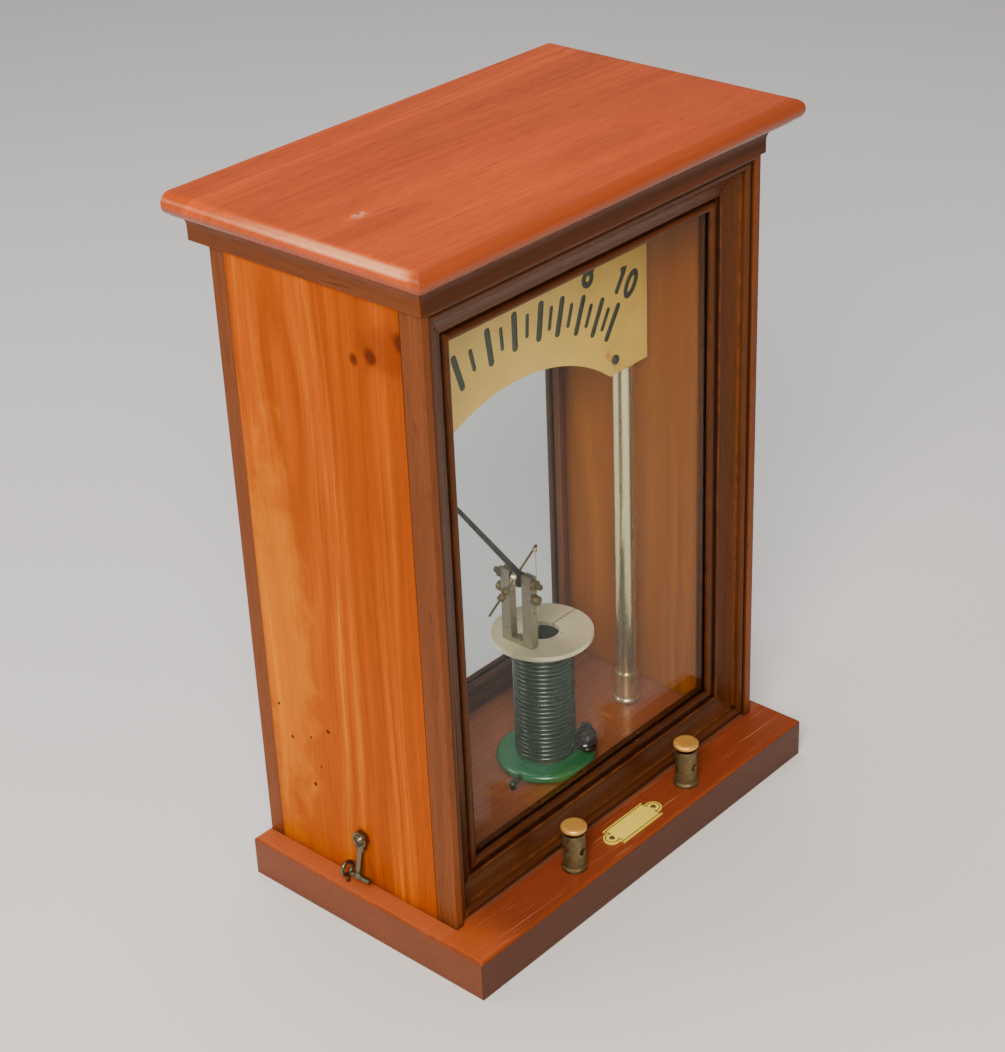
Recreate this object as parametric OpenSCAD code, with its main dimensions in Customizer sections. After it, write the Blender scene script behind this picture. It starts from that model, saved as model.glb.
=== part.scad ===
// Demonstration ammeter: a moving-iron meter in a glazed wooden case that lifts off its base board.
// Millimetres. The front faces -Y and +Z is up. The origin is the centre of the base board's underside.

/* [Base board] */
// Width of the base board
base_w = 240; // [210:1:300]
// Depth of the base board
base_d = 145; // [135:1:180]
// Thickness of the base board
base_t = 20.5; // [18:0.5:30]
// Rounding of the base board's upper edges
base_round = 1.6; // [0.5:0.1:3]
// Depth of the open shelf in front of the case
shelf_d = 23.7; // [20:0.1:32]
// Bare margin of base board on each side of the case
side_margin = 10.1; // [9.5:0.1:16]
// Bare margin of base board behind the case
back_margin = 1.8; // [0:0.1:6]
// Depth of the wiring recesses in the base board's underside
recess_d = 9; // [8:0.1:12]

/* [Case] */
// Height of the case's sides
case_h = 312.2; // [300:0.1:360]
// Thickness of the side boards
side_t = 8.4; // [6:0.1:9.5]
// Width of a front stile's front face
stile_w = 4.2; // [3.5:0.1:6]
// Depth of a front stile
stile_d = 11.6; // [11.3:0.1:14]
// Height of the rail above the front frame
head_rail_h = 16.1; // [12:0.1:24]
// Thickness of a glass pane
glass_t = 2; // [1.5:0.1:2.5]
// Play of a glass pane in its rebate, on each edge
glass_play = 0.4; // [0.2:0.1:0.8]

/* [Top] */
// Thickness of the top board
top_t = 10; // [8:0.1:14]
// Overhang of the top board's nose in front and at the sides
top_over = 13.8; // [12:0.1:20]
// Overhang of the top behind the case
top_back_over = 11; // [0:0.1:14]
// Height of the cove moulding under the top board
cove_h = 14.1; // [12:0.1:20]
// Projection of the cove moulding
cove_out = 9.5; // [8:0.1:11]
// Height and projection of the small fillet below the cove
cove_fillet = 1.6; // [1:0.1:2.5]

/* [Front frame] */
// Face width of a frame member
frame_w = 20.2; // [19.5:0.1:23]
// Shadow gap between the base board and the frame
frame_foot_gap = 1.4; // [0.8:0.1:3]
// Setback of the outer bead from the front of the case
bead_setback = 0.9; // [0.4:0.1:1.5]
// Width of the outer bead
outer_bead_w = 4.2; // [3.5:0.1:4.6]
// Step from the outer bead down to the hollow
hollow_step = 3.5; // [2.5:0.1:4]
// Fall of the hollow from its outer to its inner edge
hollow_fall = 3.9; // [3:0.1:4.3]
// Radius of the hollow
hollow_r = 16; // [12:0.5:30]
// Width of the inner bead
inner_bead_w = 4; // [3.6:0.1:4.6]
// Width of the groove beside the inner bead
quirk_w = 2.2; // [1.4:0.1:2.6]
// Depth of the groove below the hollow's inner edge
quirk_d = 2.3; // [1:0.1:2.5]
// Lip of the inner bead left over the glass
rebate_lip = 0.5; // [0.4:0.1:1]
// Overlap of the frame on the glass
rebate_w = 3; // [2.4:0.1:3.4]
// Thickness of the frame behind the stiles
frame_back_t = 4; // [3.5:0.1:6]

/* [Back frame] */
// Width of the back frame's stiles
back_stile_w = 13; // [12:0.1:20]
// Height of the back frame's bottom rail
back_rail_h = 14.2; // [12:0.1:20]
// Height of the back frame's top rail
back_head_h = 34.5; // [28:0.1:45]
// Thickness of the back frame
back_t = 8.7; // [7:0.1:12]
// Depth of the back frame's rebate
back_rebate_d = 5; // [4:0.1:5.5]

/* [Terminals] */
// Distance of each terminal from the middle
term_x = 42; // [35:0.5:80]
// Distance of the terminals from the front edge of the base board
term_inset = 12.4; // [10:0.1:13]
// Diameter of a terminal's foot
term_foot = 12; // [11.8:0.1:13]
// Height of a terminal's foot
term_foot_h = 2.2; // [1.8:0.1:3]
// Diameter of a terminal's body at the waist
term_waist = 10.5; // [9.4:0.1:10.7]
// Diameter of a terminal's body at the top
term_top = 10.8; // [10.4:0.1:11.4]
// Height of a terminal's body with its foot
term_h = 19.8; // [17:0.1:26]
// Diameter of the wire hole through a terminal
wire_hole = 3.7; // [2.5:0.1:4.2]
// Height of the wire hole above the base board
wire_hole_h = 10.9; // [9:0.1:11.2]
// Diameter of the clamping screw and of the stud under the terminal
term_screw = 4; // [3:0.1:5]
// Diameter of the clamping screw's head
term_head = 12.1; // [11.6:0.1:13]
// Thickness of the clamping screw's head
term_head_h = 3.2; // [3:0.1:5]
// Gap below the head when it is screwed down
term_gap = 1.2; // [0.8:0.1:2]

/* [Label] */
// Distance of the label plate from the front edge of the base board
label_inset = 11.7; // [10:0.1:13]
// Length of the label plate's straight middle
label_l = 29.4; // [24:0.1:40]
// Width of the label plate
label_w = 13; // [11:0.1:15]
// Radius of the label plate's ears
label_ear = 4.2; // [3.5:0.1:5]
// Distance of the ears' centres beyond the straight middle
label_reach = 0.9; // [0.5:0.1:3]
// Thickness of the label plate
label_t = 0.9; // [0.6:0.1:1.5]
// Diameter of a label pin's head
label_pin = 2.8; // [2:0.1:3.5]

/* [Coil] */
// Place of the coil to the right of the middle
coil_x = 16.3; // [15.5:0.1:17]
// Place of the coil behind the middle of the base board
coil_y = 6.8; // [2:0.1:12]
// Height of the coil with both its flanges
coil_h = 73.9; // [65:0.1:76]
// Diameter of the winding
coil_d = 30.2; // [28:0.1:34]
// Diameter of the flanges
flange_d = 49.6; // [48:0.1:56]
// Thickness of the lower flange
low_flange_t = 5; // [4:0.1:7]
// Thickness of the upper flange
top_flange_t = 2.4; // [2:0.1:4]
// Bore of the coil
coil_bore = 16.4; // [15.4:0.1:17]
// Wall of the bobbin tube
bobbin_wall = 1.9; // [1:0.1:2.5]
// Diameter of the covered wire
wire_d = 2.1; // [1.8:0.1:2.1]
// Number of turns in the outer layer
turns = 24; // [12:1:24]
// Width of the slit in the upper flange
slit_w = 0.8; // [0.5:0.1:1.2]

/* [Movement] */
// Place of the pivot to the right of the middle
pivot_x = 1.8; // [1:0.1:3]
// Place of the movement behind the coil's axis
pivot_back = 1.2; // [1.2:0.1:1.6]
// Height of the pivot above the upper flange
pivot_h = 35.1; // [33:0.1:38]
// Width of the bracket's uprights
upright_w = 4.3; // [4.2:0.1:6]
// Depth of the bracket's uprights
upright_d = 5.6; // [5.2:0.1:7]
// Gap between the uprights
upright_gap = 7.4; // [7.2:0.1:9]
// Height of the uprights above the pivot
upright_over = 3.7; // [3:0.1:6]
// Thickness of the bracket's foot
bracket_t = 2.5; // [2:0.1:4]
// Diameter of the pivot screws
pivot_screw = 3; // [2.4:0.1:3.2]
// Distance of the clamping screws below the pivot
clamp_drop = 8; // [7.5:0.1:10]
// Diameter of the hub
hub_d = 8; // [7.6:0.1:9]
// Diameter of the spindle
spindle_d = 1.8; // [1.6:0.1:1.9]
// Angle of the needle at rest, left of upright
needle_rest = 38.2; // [36:0.1:39]
// Sideways set of the needle from the pivot
needle_off = 1.3; // [0.5:0.1:1.5]
// Length of the needle from the pivot
needle_l = 121; // [118:1:124]
// Width of the needle at the hub
needle_root = 3; // [2.4:0.1:3.4]
// Width of the needle at its tip
needle_tip = 1.4; // [1:0.1:1.8]
// Thickness of the needle
needle_t = 0.8; // [0.6:0.1:0.9]
// Forward lean of the needle
needle_lean = 2.8; // [2.6:0.1:3.2]
// Angle of the lever above level at rest
lever_rise = 33; // [30:0.5:36]
// Reach of the lever to the plunger's pin
lever_reach = 15.4; // [14.8:0.1:16.5]
// Reach of the lever to its far end
lever_tail = 23.4; // [20:0.1:26]
// Diameter of the lever
lever_d = 1.2; // [1:0.1:1.4]
// Diameter of the plunger
plunger_d = 3.2; // [3:0.1:4]
// Length of the plunger
plunger_l = 32; // [25:1:38]
// Length of the wire that carries the plunger
hanger_l = 50; // [48:0.5:53]

/* [Scale] */
// Distance of a scale post from the inside of the case's side
post_inset = 20.1; // [18:0.1:24]
// Diameter of a scale post
post_d = 10; // [9:0.1:10.4]
// Depth of the flat on a post that the plate sits on
post_flat = 2.5; // [2:0.1:3]
// Diameter of a post's ferrule
ferrule_d = 12; // [11.4:0.1:13]
// Height of a post's ferrule
ferrule_h = 17.5; // [12:0.1:24]
// Diameter of a ferrule's foot
ferrule_foot = 14; // [13.5:0.1:16]
// Overhang of the scale plate beyond the middle of its posts
plate_over = 13.4; // [10:0.1:15]
// Distance of the scale plate's lower edge below the right stop pin
plate_drop = 11.2; // [10:0.1:13]
// Height of the scale plate
plate_h = 85; // [82:0.5:88]
// Thickness of the scale plate
plate_t = 1.5; // [1:0.1:2]
// Distance of the plate's front from the pivot's centre plane
plate_front = 4.1; // [4:0.1:4.4]
// Radius at which the stop pins stand
stop_r = 111.2; // [109:0.1:113]
// Distance of the arch's edge inside the stop pins
arch_in = 7.5; // [6:0.1:9]
// Angle of the right stop pin
stop_right = 34.4; // [34.3:0.1:37]
// Diameter of a stop pin
stop_d = 1.8; // [1.2:0.1:2.2]

/* [Hooks] */
// Height of the hooks' screws above the base board
hook_h = 25; // [24:0.1:30]
// Place of the hooks behind the middle of the base board
hook_y = 7.5; // [-20:0.5:20]
// Drop from a hook's screw to its pin
hook_drop = 19; // [18:0.1:20]
// Distance of a hook's pin from the side of the case
hook_out = 5.2; // [5:0.1:5.4]
// Diameter of a hook's bar
hook_bar = 3; // [2.6:0.1:3.2]
// Diameter of a hook's pin
hook_pin = 2.4; // [2:0.1:2.6]
// Thickness of a hook's head
hook_t = 2.2; // [1.8:0.1:2.4]
// Inner diameter of a screw eye
eye_d = 4.6; // [4.4:0.1:5.2]
// Wire diameter of a screw eye
eye_wire = 2; // [1.6:0.1:2.2]

/* [Hidden] */
$fn = 64;

// Colours
light_wood = [0.82, 0.42, 0.12];
red_wood = [0.72, 0.34, 0.18];
dark_wood = [0.40, 0.20, 0.12];
base_wood = [0.50, 0.26, 0.14];
aged_brass = [0.62, 0.52, 0.32];
bright_brass = [0.78, 0.62, 0.32];
nickel = [0.74, 0.74, 0.68];
bare_metal = [0.70, 0.68, 0.63];
copper = [0.72, 0.42, 0.26];
green_cover = [0.08, 0.26, 0.20];
green_paint = [0.10, 0.42, 0.32];
cream = [0.86, 0.76, 0.50];
black_paint = [0.05, 0.05, 0.05];
iron = [0.32, 0.32, 0.33];
clear_glass = [0.80, 0.88, 0.90, 0.30];

// Cutting tools run past the faces that they cut by this much
past = 1;
// Play of a screw or pin in its hole, on the diameter
play = 0.1;
// Play of a stud, lead or screw in a drilled board, on the diameter
loose = 0.4;

// Case
front_y = shelf_d - base_d / 2;
back_y = base_d / 2 - back_margin;
case_w = base_w - 2 * side_margin;
case_top = base_t + case_h;
board_front_y = front_y + stile_d;
board_back_y = back_y - back_t;
inner_w = case_w - 2 * side_t;

// Front frame: depths are counted from the front of the case, widths from the frame's outer edge
frame_out_w = case_w - 2 * stile_w;
frame_low = base_t + frame_foot_gap;
frame_high = case_top - head_rail_h;
frame_out_h = frame_high - frame_low;
frame_mid = (frame_low + frame_high) / 2;
frame_depth = stile_d + frame_back_t;
frame_shoulder = side_t - stile_w + play;
hollow_end = frame_w - inner_bead_w - quirk_w;
hollow_top = bead_setback + hollow_step;
hollow_low = hollow_top + hollow_fall;
inner_bead_front = hollow_low - play;
rebate_front = inner_bead_front + inner_bead_w / 2 + rebate_lip;
hollow_run = hollow_end - outer_bead_w;
hollow_chord = norm([hollow_fall, hollow_run]);
hollow_lift = sqrt(pow(hollow_r, 2) - pow(hollow_chord / 2, 2));
hollow_centre = [
    (hollow_top + hollow_low) / 2 - hollow_lift * hollow_run / hollow_chord,
    (outer_bead_w + hollow_end) / 2 + hollow_lift * hollow_fall / hollow_chord
];
front_pane_w = frame_out_w - 2 * (frame_w - rebate_w) - 2 * glass_play;
front_pane_h = frame_out_h - 2 * (frame_w - rebate_w) - 2 * glass_play;
strip_front = rebate_front + glass_t;

// Back frame
back_low = base_t + back_rail_h;
back_high = case_top - back_head_h;
back_open_w = case_w - 2 * back_stile_w;
back_rebate_w = 4;
back_pane_w = back_open_w + 2 * back_rebate_w - 2 * glass_play;
back_pane_h = back_high - back_low + 2 * back_rebate_w - 2 * glass_play;
back_mid = (back_low + back_high) / 2;

// Terminals and their wiring under the base board
term_y = term_inset - base_d / 2;
label_y = label_inset - base_d / 2;
label_pin_x = label_l / 2 + label_reach;
label_shank = 7;
term_bore = term_screw + play;
foot_slope = 0.8;
collar_low = 3.6;
collar_high = 2;
hole_above = wire_hole_h + wire_hole / 2;
head_low = term_h + term_gap;
spigot_d = term_screw - 1;
spigot_h = term_head_h - 1.2;
strip_t = 0.8;
strip_w = 5;
washer_t = 1;
washer_d = 11;
nut_t = 3.2;
nut_af = 7.4;
stud_end = recess_d - strip_t - washer_t - nut_t - 1;
recess_r = 8;
groove_w = 8;

// Coil
wind_r = (coil_d - wire_d) / 2;
seat_gap = 0.25;
core_d = 2 * wind_r - wire_d - 2 * seat_gap;
bobbin_d = coil_bore + 2 * bobbin_wall;
flange_top = base_t + coil_h;
wind_low = base_t + low_flange_t + wire_d / 2 + seat_gap;
wind_high = flange_top - top_flange_t - wire_d / 2 - seat_gap;
pitch = (wind_high - wind_low) / turns;
loop_rings = 24;
ring_sides = 6;
// Polar place, round the coil's axis, where the outer layer leaves its lead
lead_d = wire_d + 0.7;
lead_notch = 8;
knee_d = lead_d + 0.8;
right_lead_r = 20.1;
right_lead_deg = -55;
wind_start = right_lead_deg + acos(wind_r / right_lead_r);
left_lead_r = flange_d / 2 + 6;
left_lead_deg = 188.5;
right_lead = [coil_x + right_lead_r * cos(right_lead_deg), coil_y + right_lead_r * sin(right_lead_deg)];
left_lead = [coil_x + left_lead_r * cos(left_lead_deg), coil_y + left_lead_r * sin(left_lead_deg)];
coil_screw_r = (flange_d / 2 + bobbin_d / 2) / 2;
coil_screw_d = 3.5;
coil_screw_head = 7;
coil_screw_in = low_flange_t - 1.5;

// Movement
pivot_y = coil_y + pivot_back;
pivot_z = flange_top + pivot_h;
upright_in = upright_gap / 2;
upright_out = upright_in + upright_d;
screw_in = 1;
screw_face = upright_in - screw_in;
cup_d = 1.6;
cup_deep = 0.9;
point_clear = 0.25;
point_in = cup_deep - 0.1;
hub_l = 3;
lever_off = 2.4;
lock_nut_d = 5.4;
lock_nut_t = 2.2;
screw_out = 5;
clamp_d = 2.5;
clamp_head = 5;
clamp_head_t = 3.6;
clamp_in = 4;
hanger_d = 0.5;
hanger_pin = 0.8;
hanger_ring = 2;
hanger_ring_t = 0.6;
nut_d = 3.6;
nut_l = 2.6;
nut_places = [-9, -12.8];
needle_start = 1;
needle_point = 4;
eye_out = hub_d / 2 - 0.3;
needle_y = -hub_l / 2 - needle_t;

// Scale
plate_y = pivot_y - plate_front;
post_y = plate_y + plate_t + post_d / 2 - post_flat;
plate_z = pivot_z + stop_r * cos(stop_right) - plate_drop;
arch_r = stop_r - arch_in;
arch_foot = pivot_x + sqrt(pow(arch_r, 2) - pow(plate_z - pivot_z, 2));
foot_clear = 6;
plate_clear = 2;
post_under = 12;
// The posts stand off the case's sides, and never inside the arch's feet
post_x = max(inner_w / 2 - post_inset, arch_foot + foot_clear);
plate_half = min(post_x + plate_over, inner_w / 2 - plate_clear);
post_top = plate_z + plate_h - post_under;
post_stud = 5;
scale_screw = 2.4;
scale_screw_head = 4.4;
scale_screw_head_t = 0.9;
scale_screw_in = 3;
scale_screw_down = 16;
scale_screw_gap = 9;
scale_screw_up = [plate_h - scale_screw_down - scale_screw_gap, plate_h - scale_screw_down];
stop_l = 5;
stop_gap = 0.3;
needle_run = needle_l - needle_point - needle_start;
stop_half = (needle_root + (needle_tip - needle_root) * (stop_r - needle_start) / needle_run) / 2;
stop_left = needle_rest + asin((stop_d / 2 + stop_half + stop_gap - needle_off) / stop_r);

// Hooks and screw eyes
hook_z = base_t + hook_h;
pin_z = hook_z - hook_drop;
hook_gap = 0.8;
hook_head_d = 8;
hook_screw_d = 3;
hook_screw_head = 6;
hook_finger = 7.5;
hook_reach = 4.4;
hook_swing = 15;
eye_back = 6.9;
eye_y = hook_y + eye_back;
eye_shank = 9;
eye_r = (eye_d + eye_wire) / 2;
eye_z = hook_z - hook_drop * cos(hook_swing) + (eye_y - hook_y - hook_drop * sin(hook_swing)) * tan(hook_swing);

// Shapes used by several pieces

module rod(d, from, to) {
    // A round bar along Z
    translate([0, 0, from]) cylinder(d = d, h = to - from);
}

module ring(d_out, d_in, from, to) {
    // A round sleeve along Z
    difference() {
        rod(d_out, from, to);
        rod(d_in, from - past, to + past);
    }
}

module along_y() {
    // Turns a piece drawn along Z so that it points to the back
    rotate([-90, 0, 0]) children();
}

module block(x, y, z) {
    // A box from pairs of limits
    translate([x[0], y[0], z[0]]) cube([x[1] - x[0], y[1] - y[0], z[1] - z[0]]);
}

module both_sides() {
    children();
    mirror([1, 0, 0]) children();
}

module at(side, x, y) {
    translate([side * x, y, 0]) children();
}

module nut(af, h, hole) {
    difference() {
        cylinder(d = af / cos(30), h = h, $fn = 6);
        rod(hole, -past, h + past);
    }
}

module edge_profile(width, t, r) {
    // A board's section with rounded upper corners
    translate([-width / 2, 0]) square([width, t - r]);
    translate([r - width / 2, 0]) square([width - 2 * r, t]);
    for (side = [-1, 1]) translate([side * (width / 2 - r), t - r]) circle(r = r);
}

module nosed_profile(from, to, noses) {
    // A board's section with a half-round nose at the listed ends
    r = top_t / 2;
    near = noses[0] ? from + r : from;
    far = noses[1] ? to - r : to;
    translate([near, 0]) square([far - near, top_t]);
    if (noses[0]) translate([near, r]) circle(r = r);
    if (noses[1]) translate([far, r]) circle(r = r);
}

// Base board and its fittings

module wiring_groove(from, to) {
    run = to - from;
    // The straight part stops short of the holes at both ends
    start = recess_r * 0.6;
    translate([from[0], from[1], -past]) rotate([0, 0, atan2(run[1], run[0])])
        translate([start, -groove_w / 2, 0])
            cube([norm(run) - start - groove_w / 3, groove_w, recess_d + past]);
    translate([to[0], to[1], -past]) cylinder(d = groove_w + 2, h = recess_d + past);
}

module base_board() {
    color(base_wood) difference() {
        intersection() {
            rotate([90, 0, 0]) linear_extrude(base_d, center = true) edge_profile(base_w, base_t, base_round);
            rotate([90, 0, 90]) linear_extrude(base_w, center = true) edge_profile(base_d, base_t, base_round);
        }
        for (side = [-1, 1]) {
            at(side, term_x, term_y) rod(term_screw + loose, 0, base_t + past);
            at(side, term_x, term_y) rod(2 * recess_r, -past, recess_d);
            at(side, post_x, post_y) rod(post_stud + loose, 0, base_t + past);
            at(side, post_x, post_y) rod(2 * recess_r, -past, recess_d);
            at(side, label_pin_x, label_y) rod(label_pin / 2, base_t - label_shank - 1, base_t + past);
            at(side, case_w / 2 + hook_out, eye_y) rod(eye_wire + play, base_t - eye_shank - 1, base_t + past);
            translate([coil_x, coil_y + side * coil_screw_r, 0]) {
                rod(coil_screw_d + loose, 0, base_t + past);
                rod(coil_screw_head + loose, -past, recess_d);
            }
        }
        translate(left_lead) rod(lead_d + loose, 0, base_t + past);
        translate(right_lead) rod(lead_d + loose, 0, base_t + past);
        wiring_groove([-term_x, term_y], left_lead);
        wiring_groove([term_x, term_y], right_lead);
    }
}

module terminal_post(side) {
    color(aged_brass) at(side, term_x, term_y) difference() {
        union() {
            rotate_extrude() polygon([
                [0, base_t], [term_foot / 2, base_t], [term_foot / 2, base_t + term_foot_h * 0.6],
                [term_foot / 2 - foot_slope, base_t + term_foot_h],
                [term_waist / 2, base_t + term_foot_h + foot_slope],
                [term_waist / 2, base_t + term_h - collar_low], [term_top / 2, base_t + term_h - collar_high],
                [term_top / 2, base_t + term_h], [0, base_t + term_h]
            ]);
            rod(term_screw, stud_end, base_t);
        }
        translate([0, 0, base_t + wire_hole_h]) along_y() rod(wire_hole, -term_foot, term_foot);
        rod(term_bore, base_t + wire_hole_h, base_t + term_h + past);
    }
}

module left_terminal_post() { terminal_post(-1); }
module right_terminal_post() { terminal_post(1); }

module clamp_screw(side) {
    color(aged_brass) at(side, term_x, term_y) {
        rod(term_screw, base_t + hole_above + play, base_t + head_low);
        rod(spigot_d, base_t + head_low, base_t + head_low + spigot_h);
    }
}

module left_clamp_screw() { clamp_screw(-1); }
module right_clamp_screw() { clamp_screw(1); }

module clamp_head(side) {
    low = base_t + head_low;
    color(bright_brass) at(side, term_x, term_y) difference() {
        rotate_extrude() polygon([
            [0, low], [term_top / 2 - 0.6, low], [term_head / 2 - 0.4, low + 0.7],
            [term_head / 2, low + 1.2], [term_head / 2, low + term_head_h - 0.9],
            [term_head / 2 - 0.6, low + term_head_h - 0.3], [term_head / 2 - 1.6, low + term_head_h],
            [0, low + term_head_h]
        ]);
        rod(spigot_d + play, low - past, low + spigot_h + play);
    }
}

module left_clamp_head() { clamp_head(-1); }
module right_clamp_head() { clamp_head(1); }

module stud_nut(d) {
    // Washer and nut that hold a stud up into the base board
    top = recess_d - strip_t;
    ring(washer_d, d + play, top - washer_t, top);
    translate([0, 0, top - washer_t - nut_t]) nut(nut_af + d - term_screw, nut_t, d + play);
}

module terminal_nuts() {
    color(bright_brass) for (side = [-1, 1]) at(side, term_x, term_y) stud_nut(term_screw);
}

module lead_strip(from, to) {
    run = to - from;
    translate([0, 0, recess_d - strip_t]) difference() {
        union() {
            translate(from) rotate([0, 0, atan2(run[1], run[0])])
                translate([0, -strip_w / 2, 0]) cube([norm(run), strip_w, strip_t]);
            translate(from) cylinder(d = washer_d, h = strip_t);
            translate(to) cylinder(d = strip_w + 2, h = strip_t);
        }
        translate(from) rod(term_screw + play, -past, strip_t + past);
    }
}

module lead_strips() {
    color(copper) {
        lead_strip([-term_x, term_y], left_lead);
        lead_strip([term_x, term_y], right_lead);
    }
}

module label_plate() {
    color(cream) translate([0, label_y, base_t]) linear_extrude(label_t) difference() {
        union() {
            square([label_l, label_w], center = true);
            square([2 * label_pin_x, 2 * label_ear], center = true);
            for (side = [-1, 1]) translate([side * label_pin_x, 0]) circle(r = label_ear);
        }
        for (side = [-1, 1]) {
            translate([side * label_pin_x, 0]) circle(d = label_pin / 2);
            for (edge = [-1, 1]) translate([side * label_l / 2, edge * (label_ear + label_w / 2) / 2])
                circle(d = (label_w / 2 - label_ear) * 0.8);
        }
    }
}

module label_pins() {
    color(bright_brass) for (side = [-1, 1]) at(side, label_pin_x, label_y) {
        rod(label_pin / 2 - play, base_t - label_shank, base_t + label_t);
        translate([0, 0, base_t + label_t]) cylinder(d1 = label_pin, d2 = label_pin * 0.6, h = 0.7);
    }
}

module screw_eyes() {
    color(nickel) for (side = [-1, 1]) at(side, case_w / 2 + hook_out, eye_y) {
        translate([0, 0, eye_z]) along_y() rotate_extrude() translate([eye_r, 0]) circle(d = eye_wire, $fn = 24);
        rod(eye_wire, base_t - eye_shank, eye_z - eye_r);
    }
}

// Coil

module on_coil() {
    translate([coil_x, coil_y, 0]) children();
}

module coil_bottom_flange() {
    r = low_flange_t / 2;
    color(green_paint) difference() {
        on_coil() translate([0, 0, base_t]) rotate_extrude() {
            square([flange_d / 2 - r, low_flange_t]);
            translate([flange_d / 2 - r, r]) circle(r = r);
        }
        on_coil() rod(bobbin_d + play, base_t - past, base_t + low_flange_t + past);
        on_coil() for (side = [-1, 1]) translate([0, side * coil_screw_r, base_t - past])
            cylinder(d = coil_screw_d + play, h = coil_screw_in + past + play);
        translate(right_lead) rod(lead_d + loose, base_t - past, base_t + low_flange_t + past);
        translate([coil_x, coil_y, base_t + r]) rotate([0, 90, left_lead_deg])
            rod(lead_d + loose, flange_d / 2 - lead_notch, flange_d);
    }
}

module coil_tube() {
    color(bare_metal) on_coil() ring(bobbin_d, coil_bore, base_t, flange_top - top_flange_t);
}

module coil_core() {
    color(copper) on_coil()
        ring(core_d, bobbin_d + play, base_t + low_flange_t, flange_top - top_flange_t);
}

module coil_top_flange() {
    color(bare_metal) on_coil() difference() {
        ring(flange_d, coil_bore, flange_top - top_flange_t, flange_top);
        translate([0, -slit_w / 2, flange_top - top_flange_t - past])
            cube([flange_d, slit_w, top_flange_t + 2 * past]);
        translate([pivot_x - coil_x, pivot_y - coil_y, 0])
            rod(clamp_d + play, flange_top - top_flange_t - past, flange_top + past);
    }
}

module coil_screws() {
    color(nickel) on_coil() for (side = [-1, 1]) translate([0, side * coil_screw_r, 0]) {
        rod(coil_screw_head, recess_d - 3, recess_d);
        rod(coil_screw_d, recess_d, base_t + coil_screw_in);
    }
}

module coil_leads() {
    // The right lead takes over from the winding's end, the left one comes out under the lower flange
    start = [coil_x + wind_r * cos(wind_start), coil_y + wind_r * sin(wind_start)];
    run = right_lead - start;
    skip = wire_d + play;
    color(green_cover) {
        translate([start[0], start[1], wind_low]) rotate([0, 90, atan2(run[1], run[0])])
            rod(wire_d, skip, norm(run));
        translate([right_lead[0], right_lead[1], wind_low]) sphere(d = knee_d);
        translate(right_lead) rod(lead_d, recess_d, wind_low);
        translate([coil_x, coil_y, base_t + low_flange_t / 2]) rotate([0, 90, left_lead_deg])
            rod(lead_d, flange_d / 2 - 7, left_lead_r);
        translate([left_lead[0], left_lead[1], base_t + low_flange_t / 2]) sphere(d = knee_d);
        translate(left_lead) rod(lead_d, recess_d, base_t + low_flange_t / 2);
    }
}

// The winding is one tube: rings of points along a helix, with a short straight run at each end
wind_steps = turns * loop_rings;
wind_slope = pitch / (2 * PI * wind_r);

function wind_angle(i) = wind_start + 360 * i / loop_rings;
function wind_radial(i) = [cos(wind_angle(i)), sin(wind_angle(i)), 0];
function wind_tangent(i) =
    [-sin(wind_angle(i)), cos(wind_angle(i)), wind_slope] / norm([1, wind_slope]);
function wind_point(i) = wind_r * wind_radial(i) + [0, 0, wind_low + pitch * i / loop_rings];
function wind_ring(centre, i) = [
    for (k = [0 : ring_sides - 1])
        centre + wire_d / 2 * (cos(360 * k / ring_sides) * wind_radial(i)
            + sin(360 * k / ring_sides) * cross(wind_tangent(i), wind_radial(i)))
];

wind_rings = concat(
    [wind_ring(wind_point(0) - wire_d * wind_tangent(0), 0)],
    [for (i = [0 : wind_steps]) wind_ring(wind_point(i), i)],
    [wind_ring(wind_point(wind_steps) + wire_d * wind_tangent(wind_steps), wind_steps)]
);
wind_gaps = [
    for (i = [0 : wind_steps - loop_rings])
        for (k = [loop_rings - 3 : min(loop_rings + 3, wind_steps - i)])
            norm(wind_point(i + k) - wind_point(i)) - wire_d
];
echo(winding_least_gap = min(wind_gaps));  // coil_winding

module coil_winding() {
    last = len(wind_rings) - 1;
    points = [for (r = wind_rings) for (p = r) p];
    sides = [
        for (i = [0 : last - 1]) for (k = [0 : ring_sides - 1])
            let (a = i * ring_sides + k, b = i * ring_sides + (k + 1) % ring_sides)
                each [[a, a + ring_sides, b + ring_sides], [a, b + ring_sides, b]]
    ];
    ends = [
        for (k = [1 : ring_sides - 2])
            each [[0, k, k + 1], [last * ring_sides, last * ring_sides + k + 1, last * ring_sides + k]]
    ];
    color(green_cover) on_coil() polyhedron(points = points, faces = concat(sides, ends), convexity = 10);
}

// Movement

module at_pivot() {
    translate([pivot_x, pivot_y, pivot_z]) children();
}

module front_and_back() {
    children();
    mirror([0, 1, 0]) children();
}

module pivot_bracket() {
    color(bare_metal) difference() {
        union() {
            at_pivot() block([-upright_w / 2, upright_w / 2], [-upright_out, upright_out],
                [-pivot_h, bracket_t - pivot_h]);
            at_pivot() front_and_back() block([-upright_w / 2, upright_w / 2], [upright_in, upright_out],
                [-pivot_h, upright_over]);
        }
        at_pivot() along_y() rod(pivot_screw + play, -upright_out - past, upright_out + past);
        at_pivot() front_and_back() translate([0, 0, -clamp_drop]) along_y()
            rod(clamp_d + play, upright_out - clamp_in - play, upright_out + past);
        at_pivot() block([-slit_w / 2, slit_w / 2], [-upright_out - past, upright_out + past],
            [pivot_screw / 2 - 0.2, upright_over + past]);
        at_pivot() rod(clamp_d + play, -pivot_h - past, bracket_t - pivot_h + past);
    }
}

module bracket_screw() {
    color(nickel) translate([pivot_x, pivot_y, flange_top]) {
        rod(clamp_d, -top_flange_t, bracket_t);
        rod(clamp_head - 0.6, bracket_t, bracket_t + 0.9);
    }
}

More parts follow.
